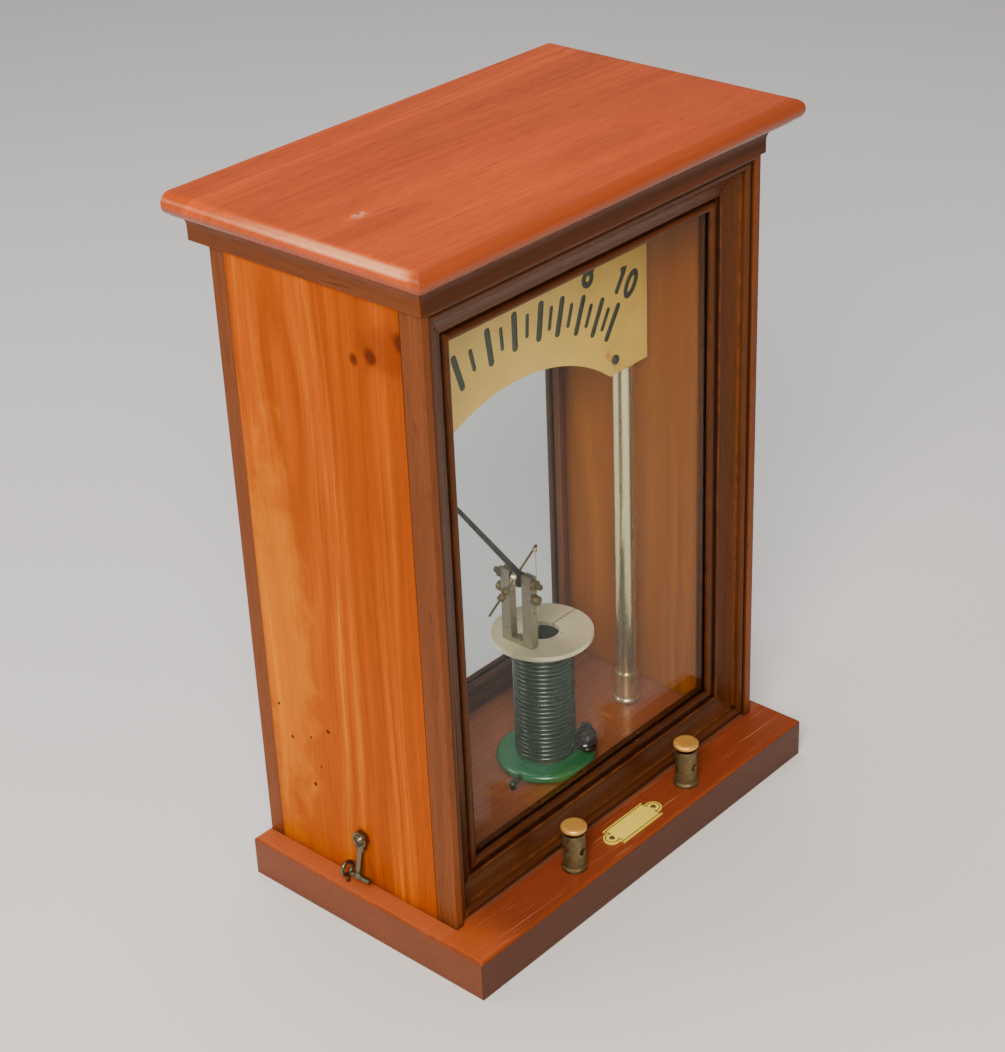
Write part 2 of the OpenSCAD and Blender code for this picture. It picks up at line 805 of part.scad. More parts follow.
module pivot_screws() {
    color(bright_brass) at_pivot() front_and_back() along_y() difference() {
        rod(pivot_screw, screw_face, upright_out + screw_out);
        translate([0, 0, screw_face - play]) cylinder(d1 = cup_d, d2 = 0, h = cup_deep);
        block([-pivot_screw, pivot_screw], [-0.3, 0.3],
            [upright_out + screw_out - 0.8, upright_out + screw_out + past]);
    }
}

module pivot_lock_nuts() {
    color(bright_brass) at_pivot() front_and_back() along_y()
        ring(lock_nut_d, pivot_screw + play, upright_out, upright_out + lock_nut_t);
}

module clamp_screws() {
    color(bright_brass) at_pivot() front_and_back() translate([0, 0, -clamp_drop]) along_y() {
        rod(clamp_d, upright_out - clamp_in, upright_out);
        translate([0, 0, upright_out]) rotate_extrude() {
            square([clamp_head / 2, clamp_head_t - 1]);
            square([clamp_head / 2 - 1, clamp_head_t]);
            translate([clamp_head / 2 - 1, clamp_head_t - 1]) circle(r = 1);
        }
    }
}

module pointer_spindle() {
    half = screw_face - point_clear;
    color(nickel) at_pivot() along_y() {
        rod(spindle_d, -half, half);
        for (end = [0, 1]) mirror([0, 0, end]) translate([0, 0, half])
            cylinder(d1 = spindle_d, d2 = 0, h = point_clear + point_in - play);
    }
}

module on_lever() {
    // Along the lever, which passes beside the spindle
    at_pivot() rotate([0, 90 - lever_rise, 0]) translate([-lever_off, 0, 0]) children();
}

module pointer_hub() {
    color(nickel) difference() {
        at_pivot() along_y() ring(hub_d, spindle_d, -hub_l / 2, hub_l / 2);
        on_lever() rod(lever_d, -hub_d, hub_d);
    }
}

module pointer_needle() {
    color(black_paint) at_pivot() rotate([0, -needle_rest, 0]) difference() {
        union() {
            along_y() rod(2 * eye_out, needle_y, needle_y + needle_t);
            translate([0, needle_y + needle_t, 0]) rotate([needle_lean, 0, 0]) rotate([90, 0, 0])
                linear_extrude(needle_t) translate([needle_off, 0]) polygon([
                    [-needle_root / 2, needle_start], [needle_root / 2, needle_start],
                    [needle_tip / 2, needle_l - needle_point], [0, needle_l],
                    [-needle_tip / 2, needle_l - needle_point]
                ]);
        }
        along_y() rod(spindle_d, -hub_l, hub_l);
        along_y() rod(hub_d, -hub_l / 2, hub_l);
    }
}

// The plunger's pin on the lever, seen from the pivot at rest
pin_place = [
    lever_reach * cos(lever_rise) - lever_off * sin(lever_rise),
    lever_reach * sin(lever_rise) + lever_off * cos(lever_rise)
];

module lever_rod() {
    color(aged_brass) {
        on_lever() rod(lever_d, -lever_tail, lever_reach + lever_d);
        translate([pivot_x + pin_place[0], coil_y, pivot_z + pin_place[1]]) along_y()
            rod(hanger_pin, -hanger_ring_t, pivot_back);
    }
}

module balance_nuts() {
    color(bright_brass) on_lever() for (place = nut_places)
        ring(nut_d, lever_d, place - nut_l / 2, place + nut_l / 2);
}

module plunger_wire() {
    color(nickel) translate([pivot_x + pin_place[0], coil_y, pivot_z + pin_place[1]]) {
        along_y() ring(hanger_ring, hanger_pin + play, -hanger_ring_t / 2, hanger_ring_t / 2);
        rod(hanger_d, -hanger_l, -(hanger_ring + hanger_pin) / 4);
    }
}

module iron_plunger() {
    color(iron) translate([pivot_x + pin_place[0], coil_y, pivot_z + pin_place[1] - hanger_l])
        rod(plunger_d, -plunger_l, 0);
}

// Scale

module in_plate(angle) {
    // A place on the scale plate's front, round the pivot, clockwise from upright
    translate([pivot_x + stop_r * sin(angle), plate_y, pivot_z + stop_r * cos(angle)]) children();
}

module scale_plate() {
    color(cream) difference() {
        translate([0, plate_y + plate_t, 0]) rotate([90, 0, 0]) linear_extrude(plate_t) difference() {
            translate([-plate_half, plate_z]) square([2 * plate_half, plate_h]);
            translate([pivot_x, pivot_z]) circle(r = arch_r, $fn = 128);
        }
        for (side = [-1, 1]) for (up = scale_screw_up)
            translate([side * post_x, plate_y, plate_z + up]) along_y()
                rod(scale_screw + play, -past, plate_t + past);
        for (angle = [-stop_left, stop_right]) in_plate(angle) along_y() rod(stop_d, -past, plate_t + past);
    }
}

module scale_screws() {
    color(cream) for (side = [-1, 1]) for (up = scale_screw_up)
        translate([side * post_x, plate_y, plate_z + up]) along_y() {
            rod(scale_screw_head, -scale_screw_head_t, 0);
            rod(scale_screw, 0, plate_t + scale_screw_in);
        }
}

module scale_post(side) {
    color(nickel) at(side, post_x, post_y) difference() {
        union() {
            rod(post_d, base_t, post_top);
            rod(post_stud, stud_end, base_t);
        }
        block([-post_d, post_d], [-post_d, post_flat - post_d / 2], [plate_z, post_top + past]);
        for (up = scale_screw_up) translate([0, plate_y - post_y, plate_z + up]) along_y()
            rod(scale_screw + play, 0, plate_t + scale_screw_in + play);
    }
}

module left_scale_post() { scale_post(-1); }
module right_scale_post() { scale_post(1); }

module post_ferrules() {
    foot_h = 3.2;
    color(nickel) for (side = [-1, 1]) at(side, post_x, post_y) difference() {
        translate([0, 0, base_t]) rotate_extrude() {
            square([ferrule_d / 2, ferrule_h]);
            square([(ferrule_foot - foot_h) / 2, foot_h]);
            translate([(ferrule_foot - foot_h) / 2, foot_h / 2]) circle(d = foot_h);
        }
        rod(post_d + play, base_t - past, base_t + ferrule_h + past);
    }
}

module post_nuts() {
    color(nickel) for (side = [-1, 1]) at(side, post_x, post_y) {
        translate([0, 0, strip_t]) stud_nut(post_stud);
    }
}

module stop_pins() {
    color(bright_brass) for (angle = [-stop_left, stop_right]) in_plate(angle) along_y()
        rod(stop_d, -stop_l, plate_t);
}

// Case

module side_board(side) {
    color(light_wood) difference() {
        block([-case_w / 2, side_t - case_w / 2], [board_front_y, board_back_y], [base_t, case_top]);
        translate([-case_w / 2, hook_y, hook_z]) rotate([0, 90, 0]) rod(hook_screw_d, -past, side_t - 1.5);
    }
}

module left_side_board() { side_board(); }
module right_side_board() { mirror([1, 0, 0]) side_board(); }

module front_stile() {
    color(dark_wood)
        block([-case_w / 2, stile_w - case_w / 2], [front_y, board_front_y], [base_t, case_top]);
}

module left_front_stile() { front_stile(); }
module right_front_stile() { mirror([1, 0, 0]) front_stile(); }

module front_head_rail() {
    color(dark_wood) block([-frame_out_w / 2, frame_out_w / 2], [front_y, board_front_y], [frame_high, case_top]);
}

module frame_profile() {
    // The moulding's section: first coordinate is depth from the case's front, second is width
    difference() {
        union() {
            polygon([
                [bead_setback + outer_bead_w / 2, 0], [stile_d, 0], [stile_d, frame_shoulder],
                [frame_depth, frame_shoulder], [frame_depth, frame_w - rebate_w],
                [rebate_front, frame_w - rebate_w], [rebate_front, frame_w],
                [rebate_front - rebate_lip, frame_w], [rebate_front - rebate_lip, frame_w - inner_bead_w],
                [hollow_low + quirk_d, frame_w - inner_bead_w], [hollow_low + quirk_d, hollow_end],
                [hollow_low, hollow_end], [hollow_top, outer_bead_w],
                [bead_setback + outer_bead_w / 2, outer_bead_w]
            ]);
            translate([bead_setback + outer_bead_w / 2, outer_bead_w / 2]) circle(d = outer_bead_w);
            intersection() {
                translate([rebate_front - rebate_lip, frame_w - inner_bead_w / 2]) circle(d = inner_bead_w);
                translate([0, frame_w - inner_bead_w]) square([rebate_front, inner_bead_w]);
            }
        }
        intersection() {
            translate(hollow_centre) circle(r = hollow_r, $fn = 128);
            translate([0, outer_bead_w]) square([frame_depth, hollow_end - outer_bead_w]);
        }
    }
}

module frame_member(length) {
    // One mitred member along X, with its outer edge on the X axis and its face to the front
    intersection() {
        rotate([90, 0, 90]) linear_extrude(length, center = true) frame_profile();
        translate([0, frame_depth, 0]) rotate([90, 0, 0]) linear_extrude(frame_depth) polygon([
            [-length / 2, 0], [length / 2, 0], [length / 2 - frame_w, frame_w], [frame_w - length / 2, frame_w]
        ]);
    }
}

module frame_side(turn, length, reach) {
    color(dark_wood) translate([0, front_y, frame_mid]) rotate([0, turn, 0]) translate([0, 0, -reach])
        frame_member(length);
}

module front_frame_bottom() { frame_side(0, frame_out_w, frame_out_h / 2); }
module front_frame_left() { frame_side(90, frame_out_h, frame_out_w / 2); }
module front_frame_top() { frame_side(180, frame_out_w, frame_out_h / 2); }
module front_frame_right() { frame_side(270, frame_out_h, frame_out_w / 2); }

module pane(w, h, y, z) {
    color(clear_glass) block([-w / 2, w / 2], [y, y + glass_t], [z - h / 2, z + h / 2]);
}

module glazing_strips(w, h, face, y, z) {
    // Four strips behind a pane: w and h are the rebate's size, face is the strips' width
    for (edge = [-1, 1]) {
        translate([edge * (w - face) / 2, 0, z]) block([-face / 2, face / 2], y, [-h / 2, h / 2]);
        translate([0, 0, z + edge * (h - face) / 2])
            block([face + play - w / 2, w / 2 - face - play], y, [-face / 2, face / 2]);
    }
}

module front_glass() {
    pane(front_pane_w, front_pane_h, front_y + rebate_front, frame_mid);
}

module front_glazing_strips() {
    color(dark_wood) glazing_strips(front_pane_w + 2 * glass_play, front_pane_h + 2 * glass_play, rebate_w,
        [front_y + strip_front, front_y + frame_depth], frame_mid);
}

module back_rebate() {
    w = back_open_w / 2 + back_rebate_w;
    block([-w, w], [back_y - back_rebate_d, back_y + past],
        [back_low - back_rebate_w, back_high + back_rebate_w]);
}

module back_frame_stiles() {
    color(dark_wood) both_sides() difference() {
        block([-case_w / 2, -back_open_w / 2], [board_back_y, back_y], [base_t, case_top]);
        back_rebate();
    }
}

module back_frame_rails() {
    color(dark_wood) for (z = [[base_t, back_low], [back_high, case_top]]) difference() {
        block([-back_open_w / 2, back_open_w / 2], [board_back_y, back_y], z);
        back_rebate();
    }
}

module back_glass() {
    pane(back_pane_w, back_pane_h, back_y - back_rebate_d, back_mid);
}

module back_glazing_strips() {
    color(dark_wood) glazing_strips(back_pane_w + 2 * glass_play, back_pane_h + 2 * glass_play, back_rebate_w,
        [back_y - back_rebate_d + glass_t, back_y], back_mid);
}

module top_board() {
    half = case_w / 2 + top_over;
    near = front_y - top_over;
    far = back_y + top_back_over;
    color(red_wood) translate([0, 0, case_top]) intersection() {
        rotate([90, 0, 90]) linear_extrude(2 * half, center = true) nosed_profile(near, far, [true, false]);
        translate([0, far, 0]) rotate([90, 0, 0]) linear_extrude(far - near)
            nosed_profile(-half, half, [true, true]);
    }
}

module cove_profile() {
    // The moulding's section: projection from the case, then height
    r = cove_out - cove_fillet;
    difference() {
        square([cove_out, cove_h]);
        translate([cove_out, cove_fillet + r / 2]) circle(r = r);
        translate([cove_fillet, -past]) square([cove_out, past + cove_fillet + r / 2]);
    }
}

module cornice_front() {
    half = case_w / 2;
    far = half + cove_out;
    color(red_wood) translate([0, front_y, case_top - cove_h]) intersection() {
        rotate([90, 0, -90]) linear_extrude(2 * far, center = true) cove_profile();
        linear_extrude(cove_h) polygon([[-half, 0], [half, 0], [far, -cove_out], [-far, -cove_out]]);
    }
}

module cornice_sides() {
    far = back_y + top_back_over - front_y;
    color(red_wood) both_sides() translate([case_w / 2, front_y, case_top - cove_h]) intersection() {
        translate([0, far, 0]) rotate([90, 0, 0]) linear_extrude(far + cove_out) cove_profile();
        linear_extrude(cove_h) polygon([[0, 0], [cove_out, -cove_out], [cove_out, far], [0, far]]);
    }
}

// Hooks

module at_hook() {
    translate([-case_w / 2, hook_y, hook_z]) children();
}

module hook_screw() {
    at_hook() rotate([0, -90, 0]) {
        rod(hook_screw_d, 1.6 - side_t, hook_gap + hook_t + play);
        rod(hook_screw_d + 2, 0, hook_gap - play);
        translate([0, 0, hook_gap + hook_t + play]) difference() {
            cylinder(d1 = hook_screw_head, d2 = 3.4, h = 1.5);
            rotate(35) block([-hook_screw_head, hook_screw_head], [-0.4, 0.4], [0.7, 1.5 + past]);
        }
    }
}

module hook_screws() {
    color(nickel) both_sides() hook_screw();
}

module hook() {
    // Head on the screw, bar down and outwards, then a pin to the back and a finger grip to the front
    top = [-hook_gap - hook_t / 2, 0, -hook_head_d / 2 + 0.6];
    low = [-hook_out, 0, -hook_drop];
    bar = low - top;
    color(nickel) at_hook() {
        difference() {
            rotate([0, -90, 0]) union() {
                rod(hook_head_d, hook_gap, hook_gap + hook_t);
                translate([-hook_head_d * 0.55, 0, 0]) rod(hook_head_d * 0.62, hook_gap, hook_gap + hook_t);
            }
            rotate([0, -90, 0]) rod(hook_screw_d + play, -past, hook_gap + hook_t + past);
        }
        difference() {
            translate(top) rotate([0, atan2(bar[0], bar[2]), 0]) rod(hook_bar, 0, norm(bar));
            rotate([0, -90, 0]) rod(hook_screw_head + 1, -past, hook_gap + hook_t + 3);
        }
        translate(low) sphere(d = hook_bar + 0.6);
        translate(low) along_y() rod(hook_pin, 0, hook_reach);
        translate(low) rotate([90, 0, 0]) cylinder(d1 = hook_bar, d2 = hook_pin, h = hook_finger);
    }
}

module left_hook() { hook(); }
module right_hook() { mirror([1, 0, 0]) hook(); }

base_board();
left_terminal_post();
right_terminal_post();
terminal_nuts();
lead_strips();
label_plate();
label_pins();
coil_bottom_flange();
coil_tube();
coil_core();
coil_winding();
coil_top_flange();
coil_leads();
coil_screws();
pivot_bracket();
bracket_screw();
pivot_screws();
pivot_lock_nuts();
clamp_screws();
scale_plate();
scale_screws();
left_scale_post();
right_scale_post();
post_ferrules();
post_nuts();
stop_pins();
screw_eyes();
pointer_spindle();
pointer_hub();
pointer_needle();
lever_rod();
balance_nuts();
plunger_wire();
iron_plunger();
left_clamp_screw();
left_clamp_head();
right_clamp_screw();
right_clamp_head();
left_side_board();
right_side_board();
left_front_stile();
right_front_stile();
front_head_rail();
front_frame_left();
front_frame_right();
front_frame_top();
front_frame_bottom();
front_glass();
front_glazing_strips();
back_frame_stiles();
back_frame_rails();
back_glass();
back_glazing_strips();
top_board();
cornice_front();
cornice_sides();
hook_screws();
left_hook();
right_hook();
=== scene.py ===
"""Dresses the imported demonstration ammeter: polished wood, metal, glass, winding, scale, label and studio."""

import math

import bmesh
import bpy
from bpy.props import FloatProperty, FloatVectorProperty, IntProperty, PointerProperty
from mathutils import Matrix, Vector


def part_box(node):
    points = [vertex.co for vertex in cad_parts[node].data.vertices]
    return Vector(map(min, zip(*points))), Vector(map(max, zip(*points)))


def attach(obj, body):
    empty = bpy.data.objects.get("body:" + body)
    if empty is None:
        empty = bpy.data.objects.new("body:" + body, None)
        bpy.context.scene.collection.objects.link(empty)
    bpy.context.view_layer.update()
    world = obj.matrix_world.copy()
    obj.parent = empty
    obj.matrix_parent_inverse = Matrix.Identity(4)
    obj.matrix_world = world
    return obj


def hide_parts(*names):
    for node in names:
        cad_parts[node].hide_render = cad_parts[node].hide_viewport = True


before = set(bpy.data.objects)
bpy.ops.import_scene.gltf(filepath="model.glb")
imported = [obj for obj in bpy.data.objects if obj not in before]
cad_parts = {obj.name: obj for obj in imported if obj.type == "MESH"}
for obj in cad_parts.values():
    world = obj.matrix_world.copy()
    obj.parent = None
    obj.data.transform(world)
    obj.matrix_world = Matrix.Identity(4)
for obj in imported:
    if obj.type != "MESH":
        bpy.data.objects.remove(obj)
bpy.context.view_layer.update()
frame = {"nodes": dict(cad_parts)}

bl_info = {
    "name": "Demonstration ammeter",
    "version": (1, 0, 0),
    "blender": (4, 5, 0),
    "location": "View3D > Sidebar > Ammeter",
    "description": "Finishes and small pieces of a demonstration ammeter in a glazed wooden case",
    "category": "Object",
}

MM = 0.001

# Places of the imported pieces, in metres, and angles, in radians
PIVOT_X, PIVOT_Z = 1.8 * MM, 133.0 * MM
LEVER_TIP = Vector((14.415, 8.0, 140.554)) * MM
LEVER_LEAN = math.radians(57)
COIL = Vector((16.3, 6.8, 0.0)) * MM
RIGHT_LEAD = Vector((27.83, -9.66, 25.5)) * MM
PLATE_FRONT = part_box("scale_plate")[0][1]
LABEL_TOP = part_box("label_plate")[1][2]
WIND_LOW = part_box("coil_winding")[0][2]
WIND_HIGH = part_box("coil_winding")[1][2]
WIND_START = math.radians(-9.35)
STOP_RADIUS = 0.9 * MM
TOP_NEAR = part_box("top_board")[0][1]
BOARD_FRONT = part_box("left_side_board")[0][1]
LEFT_FACE = -110  # outer face of the left side board, in millimetres

# Knots in the left board: place and half size, along Y and Z, in millimetres
KNOTS = [((-19.7, 293), (4.5, 5)), ((-10, 290), (3.5, 4)), ((-38, 304), (7, 6)), ((-42, 288), (5, 8))]

# Direction of the painted sheen on the turned upper flange: its colour is brightest along this line
PAINTED_SHEEN = (0.72, -0.69)

# Thickness of the scale's paint, and the angles of its half marks, clockwise from upright, set by trial
PAINT_DEPTH = 0.12 * MM
MARK_ANGLES = (-38.5, -36.7, -33.6, -29.9, -25.9, -21.6, -17.7, -13.2, -8.0, -4.2, -0.2,
               3.7, 7.7, 11.0, 14.1, 17.4, 20.8, 23.9, 27.1, 30.0, 32.8)

# Camera: focal length and picture height in pixels, sensor in millimetres, place in metres, and its angles
FOCAL_PIXELS, PICTURE_TALL, SENSOR = 2235.4, 1052, 36.0
CAMERA_PLACE = Vector((-0.66354, -0.59667, 0.66369))
CAMERA_TURN, CAMERA_DOWN, CAMERA_ROLL = (math.radians(v) for v in (47.34, 29.36, -2.447))

# Floor: half its span and how far it lies below the part; and the point that the lights face
FLOOR_SPAN, FLOOR_DROP = 6.0, 0.2 * MM
LIT_POINT = Vector((0, 0, 0.17))


def tone(red, green, blue):
    """A colour given as screen values from 0 to 255, as the linear values that shaders use."""
    return tuple(((v / 255 + 0.055) / 1.055) ** 2.4 if v > 10 else v / 3294.6 for v in (red, green, blue))


# Settings

def colour_setting(name, description, screen):
    """A colour, given as screen values."""
    return FloatVectorProperty(name=name, description=description, default=tone(*screen),
                               subtype="COLOR", size=3, min=0.0, max=1.0)


def length_setting(name, description, mm):
    """A length, given in millimetres."""
    return FloatProperty(name=name, description=description, default=mm * MM, unit="LENGTH", min=0.0)


class WoodSettings(bpy.types.PropertyGroup):
    side: colour_setting("Side boards", "Colour of the case's side boards", (192, 84, 0))
    side_pale: colour_setting("Side streaks", "Colour of the pale streaks in the side boards", (222, 132, 0))
    frame: colour_setting("Frames", "Colour of the front and back frames", (86, 44, 20))
    top: colour_setting("Top", "Colour of the top board", (216, 84, 24))
    base: colour_setting("Base board", "Colour of the base board", (164, 70, 26))


class MetalSettings(bpy.types.PropertyGroup):
    aged_brass: colour_setting("Aged brass", "Colour of the terminals' bodies", (130, 114, 78))
    brass: colour_setting("Brass", "Colour of the turned brass pieces", (228, 170, 80))
    nickel: colour_setting("Nickel", "Colour of the nickel plating", (214, 202, 162))
    turned: colour_setting("Turned metal", "Colour of the coil's upper flange and the bracket",
                           (255, 244, 208))
    copper: colour_setting("Copper", "Colour of the strips under the base board", (190, 118, 84))
    iron: colour_setting("Iron", "Colour of the plunger", (110, 110, 112))


class CoilSettings(bpy.types.PropertyGroup):
    turns: IntProperty(name="Turns", description="Turns of wire in the winding's outer layer", default=26,
                       min=24, max=28)
    radius: length_setting("Winding radius", "Radius of the winding at the middle of its wire", 13.97)
    cover: colour_setting("Wire covering", "Colour of the varnished wire covering", (20, 52, 33))
    paint: colour_setting("Lower flange", "Colour of the lower flange's paint", (30, 112, 74))


class ScaleSettings(bpy.types.PropertyGroup):
    paint: colour_setting("Plate", "Colour of the aged paint on the scale plate", (246, 202, 92))
    ink: colour_setting("Marks", "Colour of the painted marks and numbers", (44, 58, 42))
    long_from: length_setting("Long mark, inner end", "Distance of a long mark's inner end from the pivot",
                              114.3)
    long_to: length_setting("Long mark, outer end", "Distance of a long mark's outer end from the pivot",
                            133.7)
    short_from: length_setting("Short mark, inner end", "Distance of a short mark's inner end from the pivot",
                               118.2)
    short_to: length_setting("Short mark, outer end", "Distance of a short mark's outer end from the pivot",
                             130.0)
    long_width: length_setting("Long mark width", "Width of a long mark", 3.6)
    short_width: length_setting("Short mark width", "Width of a short mark", 2.5)
    number_height: length_setting("Number height", "Height of the numbers", 14.0)
    number_stroke: length_setting("Number stroke", "Width of the brush strokes of the numbers", 3.1)
    number_radius: length_setting("Number radius", "Distance of the numbers' middles from the pivot", 143.8)


class LabelSettings(bpy.types.PropertyGroup):
    plate: colour_setting("Label", "Colour of the label plate", (255, 224, 84))
    line: colour_setting("Border", "Colour of the label's border line", (26, 24, 22))
    inset: length_setting("Border inset", "Distance of the border line from the label's edge", 1.0)
    width: length_setting("Border width", "Width of the border line", 0.45)


class StageSettings(bpy.types.PropertyGroup):
    floor: colour_setting("Floor", "Colour of the floor", (236, 235, 238))
    key: FloatProperty(name="Key light", description="Power of the large soft light", default=42.0, min=0.0,
                       unit="POWER")
    fill: FloatProperty(name="Fill", description="Strength of the even light from all round", default=0.26,
                        min=0.0, max=1.0, subtype="FACTOR")
    lens: FloatProperty(name="Lens", description="Focal length of the camera",
                        default=FOCAL_PIXELS / PICTURE_TALL * SENSOR, min=1.0, unit="CAMERA")


SETTINGS = {
    "meter_wood": WoodSettings, "meter_metal": MetalSettings, "meter_coil": CoilSettings,
    "meter_scale": ScaleSettings, "meter_label": LabelSettings, "meter_stage": StageSettings,
}


# Finishes

class Sock:
    """A socket in a finish's node tree. Sums on it add Math nodes."""

    def __init__(self, finish, socket):
        self.finish, self.socket = finish, socket

    def maths(self, operation, *values):
        return self.finish.add("ShaderNodeMath", {"operation": operation}, values)

    def __add__(self, other):
        return self.maths("ADD", self, other)

    __radd__ = __add__

    def __sub__(self, other):
        return self.maths("SUBTRACT", self, other)

    def __rsub__(self, other):
        return self.maths("SUBTRACT", other, self)

    def __mul__(self, other):
        return self.maths("MULTIPLY", self, other)

    def __truediv__(self, other):
        return self.maths("DIVIDE", self, other)

    def __pow__(self, other):
        return self.maths("POWER", self, other)

    def __abs__(self):
        return self.maths("ABSOLUTE", self)


class Finish:
    """A material whose nodes are built from expressions."""

    def __init__(self, name):
        self.material = bpy.data.materials.new(name)
        self.material.use_nodes = True
        self.tree = self.material.node_tree
        self.tree.nodes.clear()

    def add(self, kind, settings=None, inputs=(), output=0):
        """A new node, with its inputs linked or set, as the socket of one of its outputs."""
        node = self.tree.nodes.new(kind)
        for key, value in (settings or {}).items():
            setattr(node, key, value)
        for key, value in inputs.items() if isinstance(inputs, dict) else enumerate(inputs):
            socket = node.inputs[key]
            if isinstance(value, Sock):
                self.tree.links.new(value.socket, socket)
            else:
                socket.default_value = (*value, 1.0) if socket.type == "RGBA" and len(value) == 3 else value
        return Sock(self, node.outputs[output]) if node.outputs else None

    def place(self):
        """Places on the piece in metres, in the part's frame, moving with the piece."""
        return self.add("ShaderNodeTexCoord", output="Object")

    def split(self, vector):
        return [self.add("ShaderNodeSeparateXYZ", inputs=[vector], output=axis) for axis in "XYZ"]

    def join(self, x, y, z):
        return self.add("ShaderNodeCombineXYZ", inputs=[x, y, z])

    def noise(self, vector, scale=1.0, detail=2.0, rough=0.5):
        return self.add("ShaderNodeTexNoise", inputs={"Vector": vector, "Scale": scale, "Detail": detail,
                                                      "Roughness": rough})

    def cells(self, vector, scale):
        """Distance to the nearest of many scattered points."""
        return self.add("ShaderNodeTexVoronoi", inputs={"Vector": vector, "Scale": scale})

    def step(self, value, low, high):
        """0 at low and 1 at high, smooth between them, and even beyond."""
        return self.add("ShaderNodeMapRange", {"interpolation_type": "SMOOTHSTEP"},
                        {"Value": value, "From Min": low, "From Max": high})

    def blend(self, share, first, second):
        """The first colour, turning into the second by a share."""
        return self.add("ShaderNodeMix", {"data_type": "RGBA", "clamp_factor": True},
                        {0: share, 6: first, 7: second}, output=2)

    def spot(self, place, centre, radii, ragged):
        """1 at a place on the piece, falling to 0 at the radii, with a ragged edge."""
        away = self.add("ShaderNodeVectorMath", {"operation": "SUBTRACT"}, [place, centre])
        away = self.add("ShaderNodeVectorMath", {"operation": "DIVIDE"}, [away, radii])
        length = self.add("ShaderNodeVectorMath", {"operation": "LENGTH"}, [away], output="Value")
        return self.step(length + (ragged - 0.5) * 1.2, 1.0, 0.35)

    def soft_edges(self, radius):
        """The surface's direction with its sharp edges rounded off, and how near an edge is."""
        soft = self.add("ShaderNodeBevel", {"samples": 4}, {"Radius": radius})
        plain = self.add("ShaderNodeNewGeometry", output="Normal")
        even = self.add("ShaderNodeVectorMath", {"operation": "DOT_PRODUCT"}, [soft, plain], output="Value")
        return soft, self.step(1 - even, 0.015, 0.16)

    def hollows(self, reach):
        """1 deep in grooves and corners, 0 on open faces."""
        return 1 - self.add("ShaderNodeAmbientOcclusion", {"samples": 6}, {"Distance": reach}, output="AO")

    def bump(self, height, depth, strength, normal=None):
        inputs = {"Height": height, "Distance": depth, "Strength": strength}
        if normal:
            inputs["Normal"] = normal
        return self.add("ShaderNodeBump", inputs=inputs)

    def surface(self, **inputs):
        names = {key.replace("_", " ").title().replace("Ior", "IOR"): value for key, value in inputs.items()}
        return self.add("ShaderNodeBsdfPrincipled", inputs=names)

    def done(self, shader):
        self.add("ShaderNodeOutputMaterial", inputs=[shader])
        return self.material


def shade(colour, factor):
    """A colour made darker or brighter."""
    return tuple(min(1.0, v * factor) for v in colour)


def wood(name, colour, pale, along, heart, seed, streaks=0.5, pores=0.5, figure=0.6, rough=0.34, gloss=0.14,
         hollow_shade_and_grime=0.85, wear_and_highlight=0.5, rounding=0.9, marks=None):
    """Polished wood with its grain along one axis and its growth rings round a heart beside the board."""
    f = Finish(name)
    place = f.place()
    x, y, z = f.split(place)
    run, a, b = {"X": (x, y, z), "Y": (y, x, z), "Z": (z, abs(x), y)}[along]
    dark = shade(colour, 0.36)
    wander = f.noise(f.join(run * 2.4 + seed, a * 9, b * 9), 1.0, 2.0)
    rings = ((a - heart[0]) ** 2 + (b - heart[1]) ** 2) ** 0.5 + (wander - 0.5) * 0.03
    broad = f.noise(f.join(rings * 75, run * 1.6, seed + 3.1), 1.0, 2.0)
    fine = f.noise(f.join(rings * 430, run * 4, seed + 7.7), 1.0, 3.0)
    fibre = f.noise(f.join(run * 24, a * 950, b * 950), 1.0, 3.0, 0.65)
    pore = f.step(f.noise(f.join(run * 80, a * 2300, b * 2300), 1.0, 1.0), 0.6, 0.72)
    cloud = f.noise(f.join(run * 8, a * 16 + seed, b * 16), 1.0, 3.0)
    skin = f.blend(f.step(broad, 0.36, 0.66) * figure, shade(colour, 0.66), colour)
    skin = f.blend(f.step(fine, 0.46, 0.74) * f.step(broad, 0.4, 0.72) * streaks, skin, pale)
    skin = f.blend(f.step(fine, 0.48, 0.28) * figure * 0.7, skin, dark)
    skin = f.blend(f.step(fibre, 0.62, 0.3) * 0.45, skin, shade(colour, 0.5))
    skin = f.blend(pore * pores, skin, shade(colour, 0.16))
    skin = f.blend(f.step(cloud, 0.52, 0.78) * 0.45, skin, dark)
    soft, edge = f.soft_edges(rounding * MM)
    # Edges turn pale: wear, and painted highlights along the ridges, strongest on the mouldings.
    worn = edge * (0.35 + f.step(f.noise(place, 160.0, 3.0), 0.42, 0.62) * 0.65)
    skin = f.blend(worn * wear_and_highlight, skin, pale)
    # Painted shade and grime: the wood turns near black deep in grooves and corners.
    skin = f.blend(f.step(f.hollows(9 * MM), 0.2, 0.72) * hollow_shade_and_grime, skin, shade(colour, 0.06))
    dull = rough + (fibre - 0.5) * 0.16 + pore * 0.12 + worn * 0.2
    height = fibre * 0.5 - pore * 0.8
    if marks:
        skin, dull, height = marks(f, place, skin, dull, height)
    return f.done(f.surface(
        base_color=skin, roughness=dull, specular_ior_level=gloss, specular_tint=(1.0, 0.66, 0.38),
        normal=f.bump(height, 0.12 * MM, 0.35, soft)))


